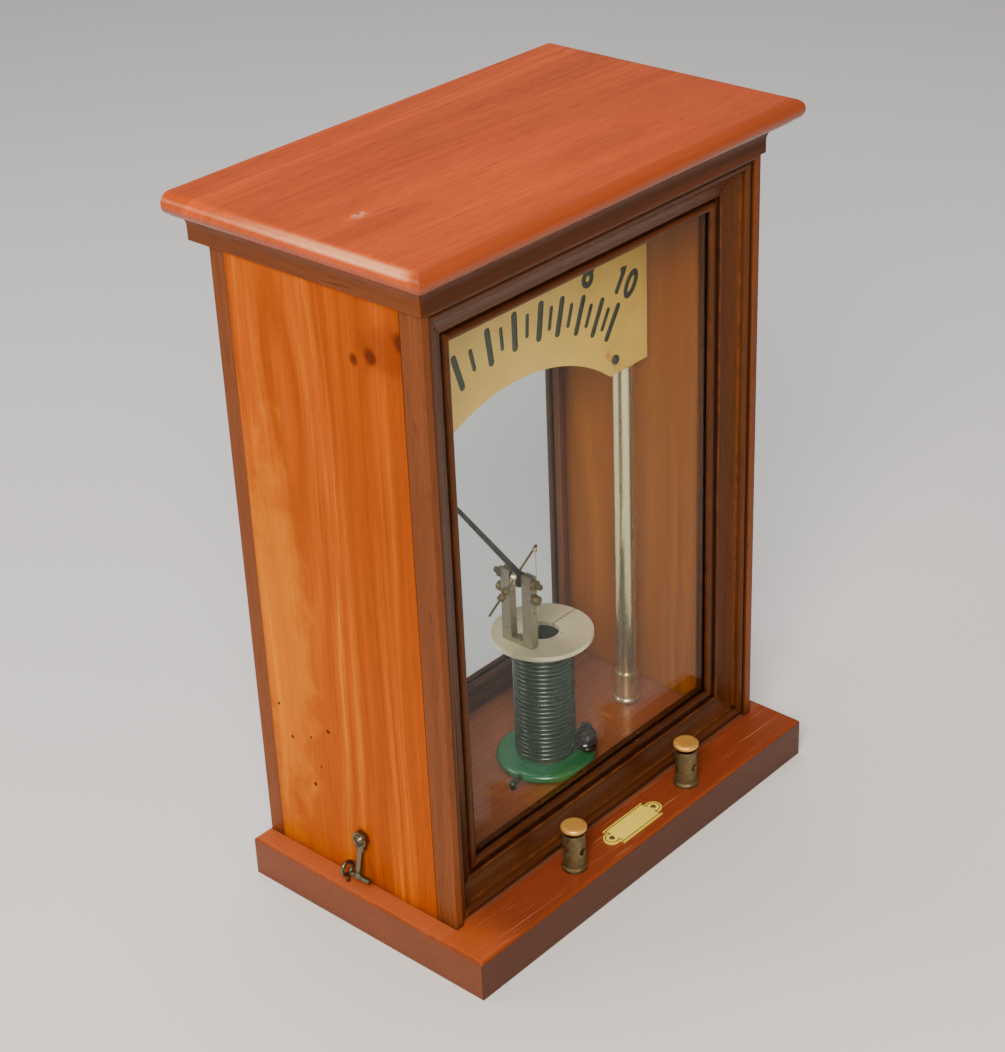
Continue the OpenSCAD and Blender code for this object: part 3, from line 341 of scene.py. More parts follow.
def side_marks(f, place, skin, dull, height):
    """Knots, a stain, wormholes and a painted patch of light on the left board, the joint at its front, and
    browner inner faces.
    """
    x, y, z = f.split(place)
    outer = f.step(x, -109.0 * MM, -109.8 * MM)
    ragged = f.noise(place, 90.0, 4.0, 0.6)
    stain = f.spot(place, Vector((LEFT_FACE, -31, 297)) * MM, Vector((12, 24, 16)) * MM, ragged)
    knots = sum((f.spot(place, Vector((LEFT_FACE, *at)) * MM, Vector((9, *size)) * MM, ragged)
                 for at, size in KNOTS), 0.0)
    # Painted light: a broad brighter patch toward the back of the left board.
    lit_patch = f.spot(place, Vector((LEFT_FACE, 50, 140)) * MM, Vector((60, 24, 130)) * MM, ragged)
    skin = f.blend(lit_patch * outer * 0.4, skin, tone(226, 134, 0))
    skin = f.blend(stain * outer * 0.55, skin, tone(120, 44, 16))
    skin = f.blend(knots * outer * 0.8, skin, tone(66, 22, 10))
    eaten = f.spot(place, Vector((LEFT_FACE, 42, 88)) * MM, Vector((60, 26, 40)) * MM, ragged)
    eaten = eaten + f.spot(place, Vector((LEFT_FACE, 56, 40)) * MM, Vector((60, 14, 20)) * MM, ragged)
    inner = f.step(abs(x), 108.2 * MM, 107.6 * MM)
    skin = f.blend(inner * 0.55, skin, tone(112, 80, 4))
    seam = f.step(y, BOARD_FRONT + 0.75 * MM, BOARD_FRONT + 0.4 * MM) * outer
    skin = f.blend(seam * 0.8, skin, tone(70, 28, 8))
    hole = f.step(f.cells(f.join(0.0, y, z), 120.0), 0.15, 0.09) * f.step(eaten, 0.2, 0.5) * outer
    skin = f.blend(hole * 0.95, skin, tone(60, 24, 10))
    return skin, dull + hole * 0.4, height - hole * 6


def top_marks(f, place, skin, dull, height):
    """Rubbed and scratched polish on the top board, a painted highlight on the left nose, and painted shade on
    the front nose and below the noses.
    """
    x, y, z = f.split(place)
    ragged = f.noise(place, 240.0, 4.0, 0.7)
    rubbed = f.spot(place, Vector((-93, -1, 343)) * MM, Vector((9, 4, 8)) * MM, ragged)
    scratch = f.step(f.noise(f.join(x * 30, y * 1500, z * 40), 1.0, 1.0), 0.68, 0.74)
    skin = f.blend(rubbed * f.step(ragged, 0.45, 0.6) * 0.8, skin, tone(214, 160, 128))
    skin = f.blend(scratch * 0.22, skin, tone(210, 130, 90))
    # Painted highlight along the upper part of the left nose.
    nose = f.step(z, 342.6 * MM, 341.6 * MM) * f.step(z, 338.4 * MM, 340.0 * MM)
    nose = nose * f.step(x, -118.4 * MM, -120.2 * MM)
    nose = nose * f.step(y, 70 * MM, -30 * MM) * f.step(y, TOP_NEAR + 3 * MM, TOP_NEAR + 12 * MM)
    skin = f.blend(nose * (0.35 + ragged * 0.4), skin, tone(250, 186, 140))
    # Painted shade: the front nose darker.
    skin = f.blend(f.step(y, TOP_NEAR + 5.6 * MM, TOP_NEAR + 3.4 * MM) * 0.65, skin, tone(136, 62, 32))
    # Painted shade on the board's edges below the noses.
    skin = f.blend(f.step(z, 338.6 * MM, 334.8 * MM) * 0.75, skin, tone(112, 46, 16))
    return skin, dull + rubbed * 0.3 + scratch * 0.15, height - scratch * 0.6


def base_marks(f, place, skin, dull, height):
    """Pale scratches on the base board, a dusty floor in the case, painted light on the left strip, darker side
    faces, and painted shade on the front.
    """
    x, y, z = f.split(place)
    shelf = f.step(y, -46 * MM, -50 * MM)
    upper = f.step(z, 20.2 * MM, 20.45 * MM)
    scratch = upper * f.step(f.noise(f.join(x * 26, y * 1300 + x * 60, z * 40), 1.0, 2.0), 0.62, 0.72)
    skin = f.blend(upper * shelf * 0.6, skin, tone(126, 58, 38))
    skin = f.blend(upper * (1 - shelf) * 0.55, skin, tone(142, 94, 70))
    # Painted light: the top's left strip brightened as if lit by light thrown from the left board.
    skin = f.blend(upper * f.step(x, -84 * MM, -112 * MM) * 0.6, skin, tone(190, 90, 38))
    skin = f.blend(scratch * (0.15 + shelf * 0.2), skin, tone(222, 160, 112))
    lower = (1 - upper) * f.step(z, 19.6 * MM, 19.2 * MM)
    skin = f.blend(lower * 0.75, skin, tone(98, 54, 32))
    # Painted shade: the front face darker still.
    skin = f.blend(lower * f.step(y, -71.6 * MM, -72.3 * MM) * 0.8, skin, tone(62, 28, 17))
    return skin, dull + scratch * 0.2, height - scratch * 0.5


def metal(name, colour, tarnish, share, rough, lines=(40, 40, 3200), grain=0.25, specks=0.4, shine=1.0,
          centre=None):
    """Worked metal with tool lines, round a centre and with a painted sheen if it was turned, a patchy tarnish
    and rubbed edges.
    """
    f = Finish(name)
    place = f.place()
    x, y, z = f.split(place)
    if centre:
        across = ((x - centre[0]) ** 2 + (y - centre[1]) ** 2) ** 0.5
        tool = f.noise(f.join(across * lines[2], z * 40, 0.0), 1.0, 2.0)
        # Painted sheen: the turned face is darkened away from one direction.
        sheen_fan = abs((x - centre[0]) * PAINTED_SHEEN[0] + (y - centre[1]) * PAINTED_SHEEN[1]) / across
        colour = f.blend(f.step(sheen_fan, 0.35, 1.0), shade(colour, 0.66), colour)
    else:
        tool = f.noise(f.join(x * lines[0], y * lines[1], z * lines[2]), 1.0, 2.0)
    patch = f.noise(place, 210.0, 4.0, 0.62)
    speck = f.noise(place, 1500.0, 2.0)
    soft, edge = f.soft_edges(0.4 * MM)
    dirt = f.step(patch + (tool - 0.5) * 0.2, 0.62 - share * 0.3, 0.78 - share * 0.3)
    dirt = dirt * (1 - edge * 0.7)
    skin = f.blend(dirt * 0.85, colour, tarnish)
    skin = f.blend(f.step(f.hollows(3 * MM), 0.3, 0.85) * 0.7, skin, shade(tarnish, 0.3))
    skin = f.blend(f.step(speck, 0.62, 0.75) * specks, skin, shade(tarnish, 0.5))
    return f.done(f.surface(
        base_color=skin, metallic=shine - dirt * 0.35, roughness=rough + dirt * 0.25 + (tool - 0.5) * 0.18,
        normal=f.bump(tool + speck * 0.4, 0.03 * MM, grain, soft)))


def paint(name, colour, worn, rough, coat, chips=0.3, mottle=0.25, grain=0.15, bared=0.0):
    """Brushed paint or varnish with mottling, specks and wear at the edges."""
    f = Finish(name)
    place = f.place()
    patch = f.noise(place, 60.0, 4.0, 0.6)
    brush = f.noise(place, 700.0, 3.0, 0.6)
    soft, edge = f.soft_edges(0.5 * MM)
    chip = edge * f.step(f.noise(place, 420.0, 3.0), 0.5, 0.6) * chips
    skin = f.blend(f.step(patch, 0.35, 0.7) * mottle, colour, shade(colour, 0.62))
    skin = f.blend(f.step(brush, 0.6, 0.75) * mottle * 0.6, skin, shade(colour, 1.3))
    skin = f.blend(chip, skin, worn)
    # Painted shade: the paint darkens deep in hollows.
    skin = f.blend(f.step(f.hollows(3 * MM), 0.3, 0.85) * 0.6, skin, shade(colour, 0.2))
    return f.done(f.surface(
        base_color=skin, metallic=chip * bared, roughness=rough + (patch - 0.5) * 0.2, coat_weight=coat,
        coat_roughness=0.12, normal=f.bump(brush, 0.05 * MM, grain, soft)))


def glass(name):
    """Thin window glass: clear face on, mirror-like at a slant, with faint wiping marks."""
    f = Finish(name)
    place = f.place()
    smear = f.noise(place, 55.0, 4.0, 0.65)
    slant = f.add("ShaderNodeLayerWeight", inputs={"Blend": 0.5}, output="Facing")
    mirror = 0.013 + slant ** 5 * 0.6
    clear = f.add("ShaderNodeBsdfTransparent", inputs={"Color": (0.965, 0.98, 0.97)})
    gloss = f.surface(base_color=(0.95, 0.97, 0.97), metallic=1.0,
                      roughness=f.step(smear, 0.45, 0.8) * 0.12 + 0.01)
    share = mirror + f.step(smear, 0.55, 0.85) * 0.005
    return f.done(f.add("ShaderNodeMixShader", inputs=[share, clear, gloss]))


def dress(material, *nodes):
    """Gives CAD pieces a finish."""
    for node in nodes:
        for slot in frame["nodes"][node].material_slots:
            slot.material = material


# Shapes

def piece(name, build, material, body):
    """A new mesh piece that rides on a body. build fills a bmesh."""
    shape = bmesh.new()
    build(shape)
    bmesh.ops.recalc_face_normals(shape, faces=shape.faces)
    mesh = bpy.data.meshes.new(name)
    shape.to_mesh(mesh)
    shape.free()
    made = bpy.data.objects.new(name, mesh)
    bpy.context.scene.collection.objects.link(made)
    mesh.materials.append(material)
    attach(made, body)
    return made


def smooth(made, angle=40):
    """Shades a piece smooth, apart from edges sharper than an angle in degrees."""
    for face in made.data.polygons:
        face.use_smooth = True
    made.data.set_sharp_from_angle(angle=math.radians(angle))


def tube(shape, rings, closed=False):
    """Skins a row of closed rings of points, and caps its ends or joins the last ring to the first."""
    rows = [[shape.verts.new(point) for point in ring] for ring in rings]
    for near, far in zip(rows, rows[1:] + rows[:1] if closed else rows[1:]):
        for k in range(len(near)):
            shape.faces.new((near[k - 1], near[k], far[k], far[k - 1]))
    if not closed:
        shape.faces.new(rows[0])
        shape.faces.new(rows[-1])


def ring_round(centre, side, up, radius, sides):
    """Points of a ring, in the plane of two directions."""
    return [centre + radius * (math.cos(math.tau * k / sides) * side + math.sin(math.tau * k / sides) * up)
            for k in range(sides)]


def wire_along(shape, path, radius, sides=8, blunt=0.72):
    """A round wire along a row of points, closing to a blunt tip at both ends."""
    rings, side, last = [], None, len(path) - 1
    for i, point in enumerate(path):
        ahead = (path[min(i + 1, last)] - path[max(i - 1, 0)]).normalized()
        side = (side - ahead * side.dot(ahead)).normalized() if side else ahead.orthogonal().normalized()
        thick = radius * (blunt if i in (0, last) else 1.0)
        rings.append(ring_round(point, side, ahead.cross(side), thick, sides))
    tube(shape, rings)


def stroke(shape, path, width, place, depth, closed=False, sides=8):
    """A round-ended stroke of paint along a flat path. place sets a flat point on the plate at a depth."""
    count, half = len(path), width / 2
    cap = [(math.cos(k * math.pi / 8), math.sin(k * math.pi / 8)) for k in range(4, 0, -1)]
    rows = []
    for i, here in enumerate(path):
        before = path[i - 1] if closed or i else here
        after = path[(i + 1) % count] if closed or i < count - 1 else here
        ahead = (after - before).normalized()
        across = Vector((-ahead.y, ahead.x))
        sweeps = [(0.0, 1.0)]
        if not closed and i == 0:
            sweeps = [(-reach, broad) for reach, broad in reversed(cap)]
        elif not closed and i == count - 1:
            sweeps = cap
        for reach, broad in sweeps:
            rows.append([place(
                here + ahead * reach * half + across * math.cos(math.tau * k / sides) * half * broad,
                math.sin(math.tau * k / sides) * depth) for k in range(sides)])
    tube(shape, rows, closed)


def arc(x, y, rx, ry, start, end, steps=20):
    """Points round an ellipse, between two angles in degrees."""
    turns = [math.radians(start + (end - start) * k / steps) for k in range(steps + 1)]
    return [Vector((x + rx * math.cos(turn), y + ry * math.sin(turn))) for turn in turns]


def points(*pairs):
    """Flat points from pairs of numbers."""
    return [Vector(pair) for pair in pairs]


# Brush strokes of the numbers, one high: half width, then each stroke's path and whether it closes
NUMBERS = {
    "0": (0.2, [(arc(0, 0, 0.2, 0.42, 0, 345, 23), True)]),
    "1": (0.09, [(points((-0.07, 0.3), (0.04, 0.42), (0.04, 0.2), (0.04, -0.42)), False)]),
    "2": (0.2, [(arc(0, 0.22, 0.2, 0.2, 165, -35, 14) + points((-0.2, -0.42), (0.2, -0.42)), False)]),
    "4": (0.22, [(points((0.08, -0.42), (0.08, 0.42), (-0.22, -0.18), (0.22, -0.18)), False)]),
    "6": (0.2, [(arc(0, -0.2, 0.2, 0.22, 0, 345, 23), True),
                (arc(0.1, -0.16, 0.3, 0.58, 180, 85, 12), False)]),
    "8": (0.2, [(arc(0, -0.21, 0.2, 0.21, 0, 345, 23), True),
                (arc(0, 0.22, 0.17, 0.2, 0, 345, 23), True)]),
}


# Pieces

class METER_OT_woodwork(bpy.types.Operator):
    """Polish the base board and the case's boards, frames and mouldings"""
    bl_idname = "meter.woodwork"
    bl_label = "Woodwork"

    def execute(self, context):
        s = context.scene.meter_wood
        side, pale = tuple(s.side), tuple(s.side_pale)
        dress(wood("side wood", side, pale, "Z", (0.158, 0.036), 2.0, streaks=0.85, pores=0.3, figure=0.75,
                   gloss=0.06, hollow_shade_and_grime=0.6, marks=side_marks), "left_side_board", "right_side_board")
        brown = tuple(s.frame)
        # Wide rounding and strong paling give the mouldings' ridges painted highlights as well as wear.
        moulded = {"streaks": 0.2, "pores": 0.6, "rough": 0.28, "gloss": 0.3, "wear_and_highlight": 0.9, "rounding": 2.2}
        upright = wood("upright frame wood", brown, shade(brown, 2.8), "Z", (0.3, -0.4), 5.0, **moulded)
        level = wood("level frame wood", brown, shade(brown, 2.8), "X", (-0.4, 0.5), 6.5, **moulded)
        dress(upright, "front_frame_left", "front_frame_right", "front_glazing_strips", "back_glazing_strips")
        # The stiles take a copy of the frames' wood made 2.6 times lighter: painted light.
        dress(wood("stile wood", shade(brown, 2.6), shade(brown, 4.0), "Z", (0.3, -0.4), 9.0, streaks=0.35,
                   pores=0.6), "left_front_stile", "right_front_stile", "back_frame_stiles")
        dress(level, "front_head_rail", "front_frame_top", "front_frame_bottom", "back_frame_rails")
        red = tuple(s.top)
        dress(wood("top wood", red, shade(red, 1.5), "X", (-0.02, 0.27), 1.0, streaks=0.4, rough=0.26,
                   gloss=0.5, wear_and_highlight=0.2, marks=top_marks), "top_board")
        dress(wood("front moulding wood", shade(brown, 1.2), shade(red, 0.8), "X", (-0.3, 0.1), 3.0,
                   streaks=0.3, wear_and_highlight=0.35), "cornice_front")
        # The side mouldings take a copy of the front moulding's wood made twice as light: painted light.
        dress(wood("side moulding wood", shade(brown, 2.4), shade(red, 1.0), "Y", (0.5, 0.1), 4.0,
                   streaks=0.3, wear_and_highlight=0.35), "cornice_sides")
        base = tuple(s.base)
        dress(wood("base wood", base, tone(240, 170, 116), "X", (0.03, -0.07), 8.0, streaks=0.12, pores=0.6,
                   rough=0.28, gloss=0.26, wear_and_highlight=0.9, marks=base_marks), "base_board")
        return {"FINISHED"}


class METER_OT_metalwork(bpy.types.Operator):
    """Finish the terminals, posts, bracket, screws, hooks and other metal pieces"""
    bl_idname = "meter.metalwork"
    bl_label = "Metalwork"

    def execute(self, context):
        s = context.scene.meter_metal
        aged = metal("aged brass", tuple(s.aged_brass), tone(92, 80, 56), 0.7, 0.46)
        dress(aged, "left_terminal_post", "right_terminal_post", "left_clamp_screw", "right_clamp_screw",
              "lever_rod", "balance_nuts", "pivot_screws", "pivot_lock_nuts", "clamp_screws", "label_pins")
        brass = metal("turned brass", tuple(s.brass), tone(172, 126, 62), 0.4, 0.42, shine=0.6)
        dress(brass, "left_clamp_head", "right_clamp_head", "terminal_nuts", "stop_pins")
        nickel = metal("worn nickel", tuple(s.nickel), tone(186, 172, 134), -0.25, 0.27, lines=(500, 500, 60),
                       grain=0.1, specks=0.06, shine=0.9)
        dress(nickel, "left_scale_post", "right_scale_post", "post_ferrules", "post_nuts", "coil_screws",
              "pointer_spindle", "pointer_hub", "plunger_wire")
        steel = metal("dull plating", shade(tuple(s.nickel), 0.26), tone(56, 48, 38), 0.5, 0.28)
        dress(steel, "screw_eyes", "hook_screws", "left_hook", "right_hook")
        dress(metal("turned metal", tuple(s.turned), tone(170, 160, 138), 0.1, 0.36, lines=(0, 0, 2600),
                    grain=0.5, specks=0.1, shine=0.5, centre=(COIL.x, COIL.y)), "coil_top_flange")
        # Painted shade: the bracket takes the turned flange's metal, darkened.
        dress(metal("filed metal", shade(tuple(s.turned), 0.27), tone(100, 88, 70), 0.2, 0.42,
                    lines=(900, 900, 1500), specks=0.1, shine=0.75), "pivot_bracket", "bracket_screw")
        dress(metal("copper", tuple(s.copper), tone(96, 56, 40), 0.5, 0.4), "lead_strips", "coil_core")
        dress(metal("soft iron", tuple(s.iron), tone(70, 56, 48), 0.5, 0.5), "iron_plunger")
        # Painted shade: the tube inside the coil is near black, standing for the shade in its bore.
        dress(paint("tube in painted shade", tone(34, 38, 36), tone(110, 104, 90), 0.5, 0.0), "coil_tube")
        dress(paint("needle paint", tone(22, 22, 23), tone(120, 116, 108), 0.45, 0.0, chips=0.5, bared=1.0),
              "pointer_needle")
        return {"FINISHED"}


class METER_OT_panes(bpy.types.Operator):
    """Glaze the front and back of the case"""
    bl_idname = "meter.panes"
    bl_label = "Panes"

    def execute(self, context):
        dress(glass("window glass"), "front_glass", "back_glass")
        return {"FINISHED"}


class METER_OT_winding(bpy.types.Operator):
    """Wind the coil's outer layer of covered wire and paint its flange and leads"""
    bl_idname = "meter.winding"
    bl_label = "Winding"

    def execute(self, context):
        s = context.scene.meter_coil
        cover = paint("wire covering", tuple(s.cover), shade(tuple(s.cover), 2.0), 0.28, 0.3, chips=0.2,
                      mottle=0.5, grain=0.25)
        dress(cover, "coil_leads")
        dress(paint("flange paint", tuple(s.paint), tone(150, 150, 140), 0.3, 0.5, chips=0.6, mottle=0.4),
              "coil_bottom_flange")
        room = WIND_HIGH - WIND_LOW
        # Share of the pitch that the wire fills, its straight run at each end, and its unevenness
        close, run, uneven = 0.985, 2.1 * MM, 0.05 * MM
        thick = room / (s.turns + 1) * close / 2
        pitch = (room - 2 * thick) / s.turns
        per_turn, sides = 56, 10
        rings = []
        for i in range(-1, s.turns * per_turn + 2):
            at = min(max(i, 0), s.turns * per_turn)
            turn = WIND_START + math.tau * at / per_turn
            out = Vector((math.cos(turn), math.sin(turn), 0))
            along = Vector((-out.y, out.x, pitch / (math.tau * s.radius))).normalized()
            slack = uneven * (math.sin(turn * 2.3) + math.sin(turn * 0.71 + 1.0))
            height = WIND_LOW + thick + pitch * at / per_turn
            centre = COIL + out * (s.radius + slack) + Vector((0, 0, height)) + along * (i - at) * run
            rings.append(ring_round(centre, out, along.cross(out), thick, sides))
        wire = piece("winding_wire", lambda shape: tube(shape, rings), cover, "base")
        smooth(wire)
        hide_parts("coil_winding")
        return {"FINISHED"}


class METER_OT_lead_wrap(bpy.types.Operator):
    """Wrap the varnished joint of the right lead on the lower flange"""
    bl_idname = "meter.lead_wrap"
    bl_label = "Lead wrap"

    def execute(self, context):
        varnish = paint("black varnish", tone(16, 22, 20), tone(90, 96, 88), 0.16, 0.8, chips=0.3, mottle=0.4,
                        grain=0.5)
        # The wire's loops swell round the lead and climb from the flange
        path, steps, loops, thick = [], 150, 7.3, 1.15 * MM
        for i in range(steps + 1):
            t = i / steps
            turn = math.tau * loops * t
            swell = math.sin(math.pi * min(1.0, 0.25 + t * 0.8))
            reach = (2.4 + 1.7 * swell + 0.5 * math.sin(turn * 1.7)) * MM
            lift = (1.1 + 12.6 * t + 0.5 * math.sin(turn * 0.63)) * MM
            path.append(RIGHT_LEAD + Vector((math.cos(turn) * reach, math.sin(turn) * reach, lift)))
        smooth(piece("lead_wrap", lambda shape: wire_along(shape, path, thick), varnish, "base"))
        return {"FINISHED"}


class METER_OT_scale_marks(bpy.types.Operator):
    """Paint the scale plate with its marks and numbers"""
    bl_idname = "meter.scale_marks"
    bl_label = "Scale marks"

    def execute(self, context):
        s = context.scene.meter_scale
        cream = paint("scale paint", tuple(s.paint), tone(170, 120, 70), 0.42, 0.1, chips=0.5, mottle=0.3,
                      grain=0.25)
        dress(cream, "scale_plate", "scale_screws")
        ink = paint("scale ink", tuple(s.ink), tone(90, 92, 80), 0.4, 0.0, chips=0.1, mottle=0.6)

        def setter(angle, across=0.0, out=0.0):
            """Sets points across and along a radius of the plate, at an angle clockwise from upright."""
            sin, cos = math.sin(math.radians(angle)), math.cos(math.radians(angle))

            def place(point, lift):
                x, r = point.x + across, point.y + out
                return Vector((PIVOT_X + r * sin + x * cos, PLATE_FRONT - lift, PIVOT_Z + r * cos - x * sin))

            return place

        def marks(shape):
            for half, angle in enumerate(MARK_ANGLES):
                long = half % 2 == 0
                near, far, width = (s.long_from, s.long_to, s.long_width) if long else (
                    s.short_from, s.short_to, s.short_width)
                width *= 1 + 0.07 * math.sin(half * 2.7)
                stroke(shape, points((0, near + width / 2), (0, far - width / 2)), width, setter(angle),
                       PAINT_DEPTH)

        smooth(piece("scale_lines", marks, ink, "base"), 60)

        def numbers(shape):
            for half in range(0, len(MARK_ANGLES), 4):
                digits = str(half // 2)
                gap = s.number_height * 0.14 + s.number_stroke
                room = [NUMBERS[digit][0] * s.number_height for digit in digits]
                at = -(sum(room) * 2 + gap * (len(digits) - 1)) / 2
                for digit, wide in zip(digits, room):
                    place = setter(MARK_ANGLES[half], at + wide, s.number_radius)
                    for path, closed in NUMBERS[digit][1]:
                        stroke(shape, [point * s.number_height for point in path], s.number_stroke, place,
                               PAINT_DEPTH, closed)
                    at += 2 * wide + gap

        smooth(piece("scale_numbers", numbers, ink, "base"), 60)
        return {"FINISHED"}


class METER_OT_stop_heads(bpy.types.Operator):
    """Put an enamelled head on the front end of each stop pin"""
    bl_idname = "meter.stop_heads"
    bl_label = "Stop heads"

    def execute(self, context):
        enamel = paint("dark enamel", tone(34, 52, 42), tone(120, 110, 90), 0.3, 0.3, chips=0.3, mottle=0.3)
        low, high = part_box("stop_pins")
        left_low = abs(low[0] - PIVOT_X) > abs(high[0] - PIVOT_X)
        right, up, sides = Vector((1, 0, 0)), Vector((0, 0, 1)), 16
        # Distance behind the pin's front end and radius of each ring, in millimetres
        profile = [(0.6, 1.0), (0.55, 2.0), (0.2, 2.4), (-0.3, 2.45), (-0.7, 2.2), (-1.0, 1.5), (-1.1, 0.6)]

        def heads(shape):
            for x, lower in ((low[0] + STOP_RADIUS, left_low), (high[0] - STOP_RADIUS, not left_low)):
                z = low[2] + STOP_RADIUS if lower else high[2] - STOP_RADIUS
                centre = Vector((x, low[1], z))
                tube(shape, [ring_round(centre + Vector((0, at * MM, 0)), right, up, r * MM, sides)
                             for at, r in profile])

        smooth(piece("stop_heads", heads, enamel, "base"), 60)
        return {"FINISHED"}


class METER_OT_label(bpy.types.Operator):
    """Finish the label plate and draw its border line"""
    bl_idname = "meter.label"
    bl_label = "Label"

    def execute(self, context):
        s = context.scene.meter_label
        dress(paint("label ivory", tuple(s.plate), tone(150, 110, 60), 0.3, 0.3, chips=0.4, mottle=0.2,
                    grain=0.1), "label_plate")
        low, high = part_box("label_plate")
        middle = Vector(((low[0] + high[0]) / 2, (low[1] + high[1]) / 2, LABEL_TOP))
        ear_radius, ear_out, steps = 4.2 * MM, 0.9 * MM, 8
        above, below = 0.06 * MM, -0.02 * MM  # the line's upper and lower faces, from the plate's top
        half_w = (high[1] - low[1]) / 2 - s.inset
        ear = ear_radius - s.inset
        ear_x = (high[0] - low[0]) / 2 - ear_radius
        half_l = ear_x - ear_out - s.inset
        meet = math.acos((half_l - ear_x) / ear)
        corner = [(half_l, half_w)]
        turns = [meet * k / steps for k in range(steps, -1, -1)]
        bend = [(ear_x + ear * math.cos(turn), ear * math.sin(turn)) for turn in turns]
        right = corner + bend + [(x, -y) for x, y in reversed(corner + bend[:-1])]
        path = right + [(-x, -y) for x, y in right]
        line = paint("label line", tuple(s.line), tone(120, 100, 70), 0.4, 0.0, chips=0.0, mottle=0.4)

        def border(shape):
            rows = []
            for i, (x, y) in enumerate(path):
                before, after = Vector(path[i - 1]), Vector(path[(i + 1) % len(path)])
                here = Vector((x, y))
                into, out = (here - before).normalized(), (after - here).normalized()
                normal = (into + out).orthogonal().normalized()
                reach = s.width / 2 / max(0.5, normal.dot(into.orthogonal()))
                spots = [here + normal * reach, here - normal * reach]
                rows.append([middle + Vector((spot.x, spot.y, lift))
                             for spot, lift in zip(spots + spots[::-1], (above, above, below, below))])
            tube(shape, rows, closed=True)

        piece("label_border", border, line, "base")
        return {"FINISHED"}


class METER_OT_lever_bead(bpy.types.Operator):
    """Set the bead of sealing wax on the tip of the pointer's lever"""
    bl_idname = "meter.lever_bead"
    bl_label = "Lever bead"

    def execute(self, context):
        wax = paint("sealing wax", tone(96, 28, 22), tone(140, 60, 48), 0.35, 0.4, chips=0.2, mottle=0.4)
        ahead = Vector((math.sin(LEVER_LEAN), 0, math.cos(LEVER_LEAN)))
        side, sides = Vector((0, 1, 0)), 14
        # Distance past the lever's tip and radius of each ring, in millimetres
        profile = [(-1.1, 0.62), (-0.7, 0.78), (-0.1, 0.86), (0.5, 0.86), (1.0, 0.76), (1.4, 0.5),
                   (1.6, 0.22)]
        rings = [ring_round(LEVER_TIP + ahead * at * MM, side, ahead.cross(side), r * MM, sides)
                 for at, r in profile]
        smooth(piece("lever_bead", lambda shape: tube(shape, rings), wax, "pointer"), 60)
        return {"FINISHED"}


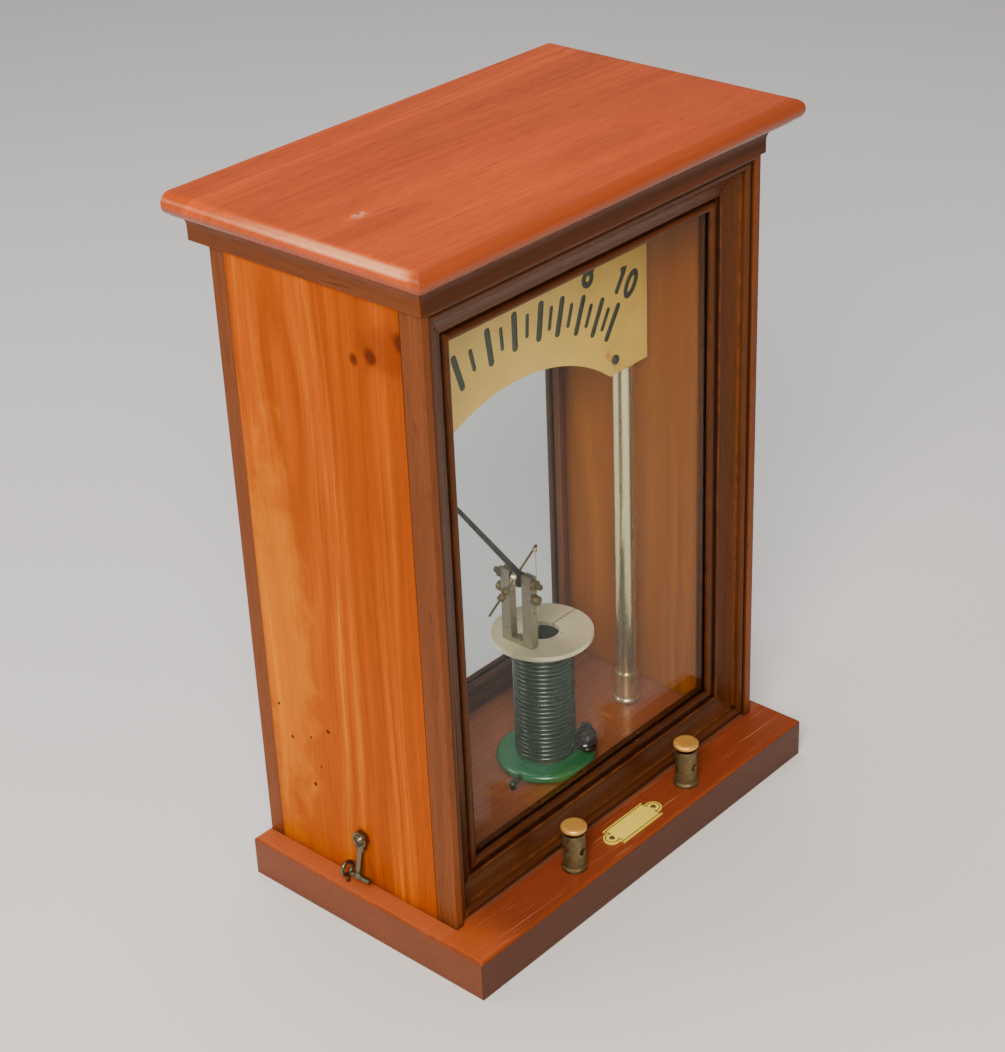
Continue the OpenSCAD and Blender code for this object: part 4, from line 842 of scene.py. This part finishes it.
class METER_OT_stage(bpy.types.Operator):
    """Set the floor, the soft lights and the camera"""
    bl_idname = "meter.stage"
    bl_label = "Stage"

    def execute(self, context):
        s = context.scene.meter_stage
        f = Finish("pale floor")
        grain = f.noise(f.place(), 420.0, 3.0)
        patch = f.noise(f.place(), 3.0, 3.0)
        skin = f.blend(patch * 0.25, tuple(s.floor), shade(tuple(s.floor), 0.88))
        matt = f.done(f.surface(base_color=skin, roughness=0.85, normal=f.bump(grain, 0.2 * MM, 0.2)))
        mesh = bpy.data.meshes.new("floor")
        signs = ((-1, -1), (1, -1), (1, 1), (-1, 1))
        corners = [(x * FLOOR_SPAN, y * FLOOR_SPAN, -FLOOR_DROP) for x, y in signs]
        mesh.from_pydata(corners, [], [(0, 1, 2, 3)])
        floor = bpy.data.objects.new("floor", mesh)
        context.scene.collection.objects.link(floor)
        mesh.materials.append(matt)

        world = bpy.data.worlds.new("soft room")
        world.use_nodes = True
        sky = world.node_tree.nodes["Background"]
        sky.inputs["Color"].default_value = (1.0, 0.96, 0.9, 1.0)
        sky.inputs["Strength"].default_value = s.fill
        context.scene.world = world

        for name, place, size, power, colour in (
                ("key light", (-1.12, -0.78, 1.2), 0.9, s.key, (1.0, 0.9, 0.76)),
                ("top light", (0.2, 0.4, 1.9), 1.2, s.key * 0.36, (0.96, 0.98, 1.0)),
                ("back light", (-1.0, 0.95, 0.75), 0.5, s.key * 0.1, (1.0, 0.97, 0.92))):
            lamp = bpy.data.lights.new(name, "AREA")
            lamp.energy, lamp.color = power, colour
            lamp.shape, lamp.size = "DISK", size
            holder = bpy.data.objects.new(name, lamp)
            holder.location = place
            holder.rotation_euler = (LIT_POINT - Vector(place)).to_track_quat("-Z", "Y").to_euler()
            holder.visible_camera = False
            context.scene.collection.objects.link(holder)

        reach = math.cos(CAMERA_DOWN)
        ahead = Vector((math.sin(CAMERA_TURN) * reach, math.cos(CAMERA_TURN) * reach, -math.sin(CAMERA_DOWN)))
        level = ahead.cross(Vector((0, 0, 1))).normalized()
        upright = level.cross(ahead)
        right = level * math.cos(CAMERA_ROLL) + upright * math.sin(CAMERA_ROLL)
        up = upright * math.cos(CAMERA_ROLL) - level * math.sin(CAMERA_ROLL)
        lens = bpy.data.cameras.new("camera")
        lens.sensor_width, lens.lens, lens.clip_start = SENSOR, s.lens, 0.01
        eye = bpy.data.objects.new("camera", lens)
        axes = Matrix((right, up, -ahead)).transposed().to_4x4()
        axes.translation = CAMERA_PLACE
        eye.matrix_world = axes
        context.scene.collection.objects.link(eye)
        context.scene.camera = eye
        return {"FINISHED"}


OPERATORS = (METER_OT_woodwork, METER_OT_metalwork, METER_OT_panes, METER_OT_winding, METER_OT_lead_wrap,
             METER_OT_scale_marks, METER_OT_stop_heads, METER_OT_label, METER_OT_lever_bead, METER_OT_stage)


class METER_PT_pieces(bpy.types.Panel):
    """The ammeter's settings and the steps that dress it"""
    bl_idname = "METER_PT_pieces"
    bl_label = "Demonstration ammeter"
    bl_space_type = "VIEW_3D"
    bl_region_type = "UI"
    bl_category = "Ammeter"

    def draw(self, context):
        for holder in SETTINGS:
            box = self.layout.box()
            settings = getattr(context.scene, holder)
            for name in settings.__annotations__:
                box.prop(settings, name)
        for operator in OPERATORS:
            self.layout.operator(operator.bl_idname)


CLASSES = (*SETTINGS.values(), *OPERATORS, METER_PT_pieces)


def register():
    for made in CLASSES:
        bpy.utils.register_class(made)
    for holder, group in SETTINGS.items():
        setattr(bpy.types.Scene, holder, PointerProperty(type=group))


def unregister():
    for holder in SETTINGS:
        delattr(bpy.types.Scene, holder)
    for made in reversed(CLASSES):
        bpy.utils.unregister_class(made)


def main():
    register()
    for operator in OPERATORS:
        group, name = operator.bl_idname.split(".")
        getattr(getattr(bpy.ops, group), name)()


if __name__ == "__main__":
    main()
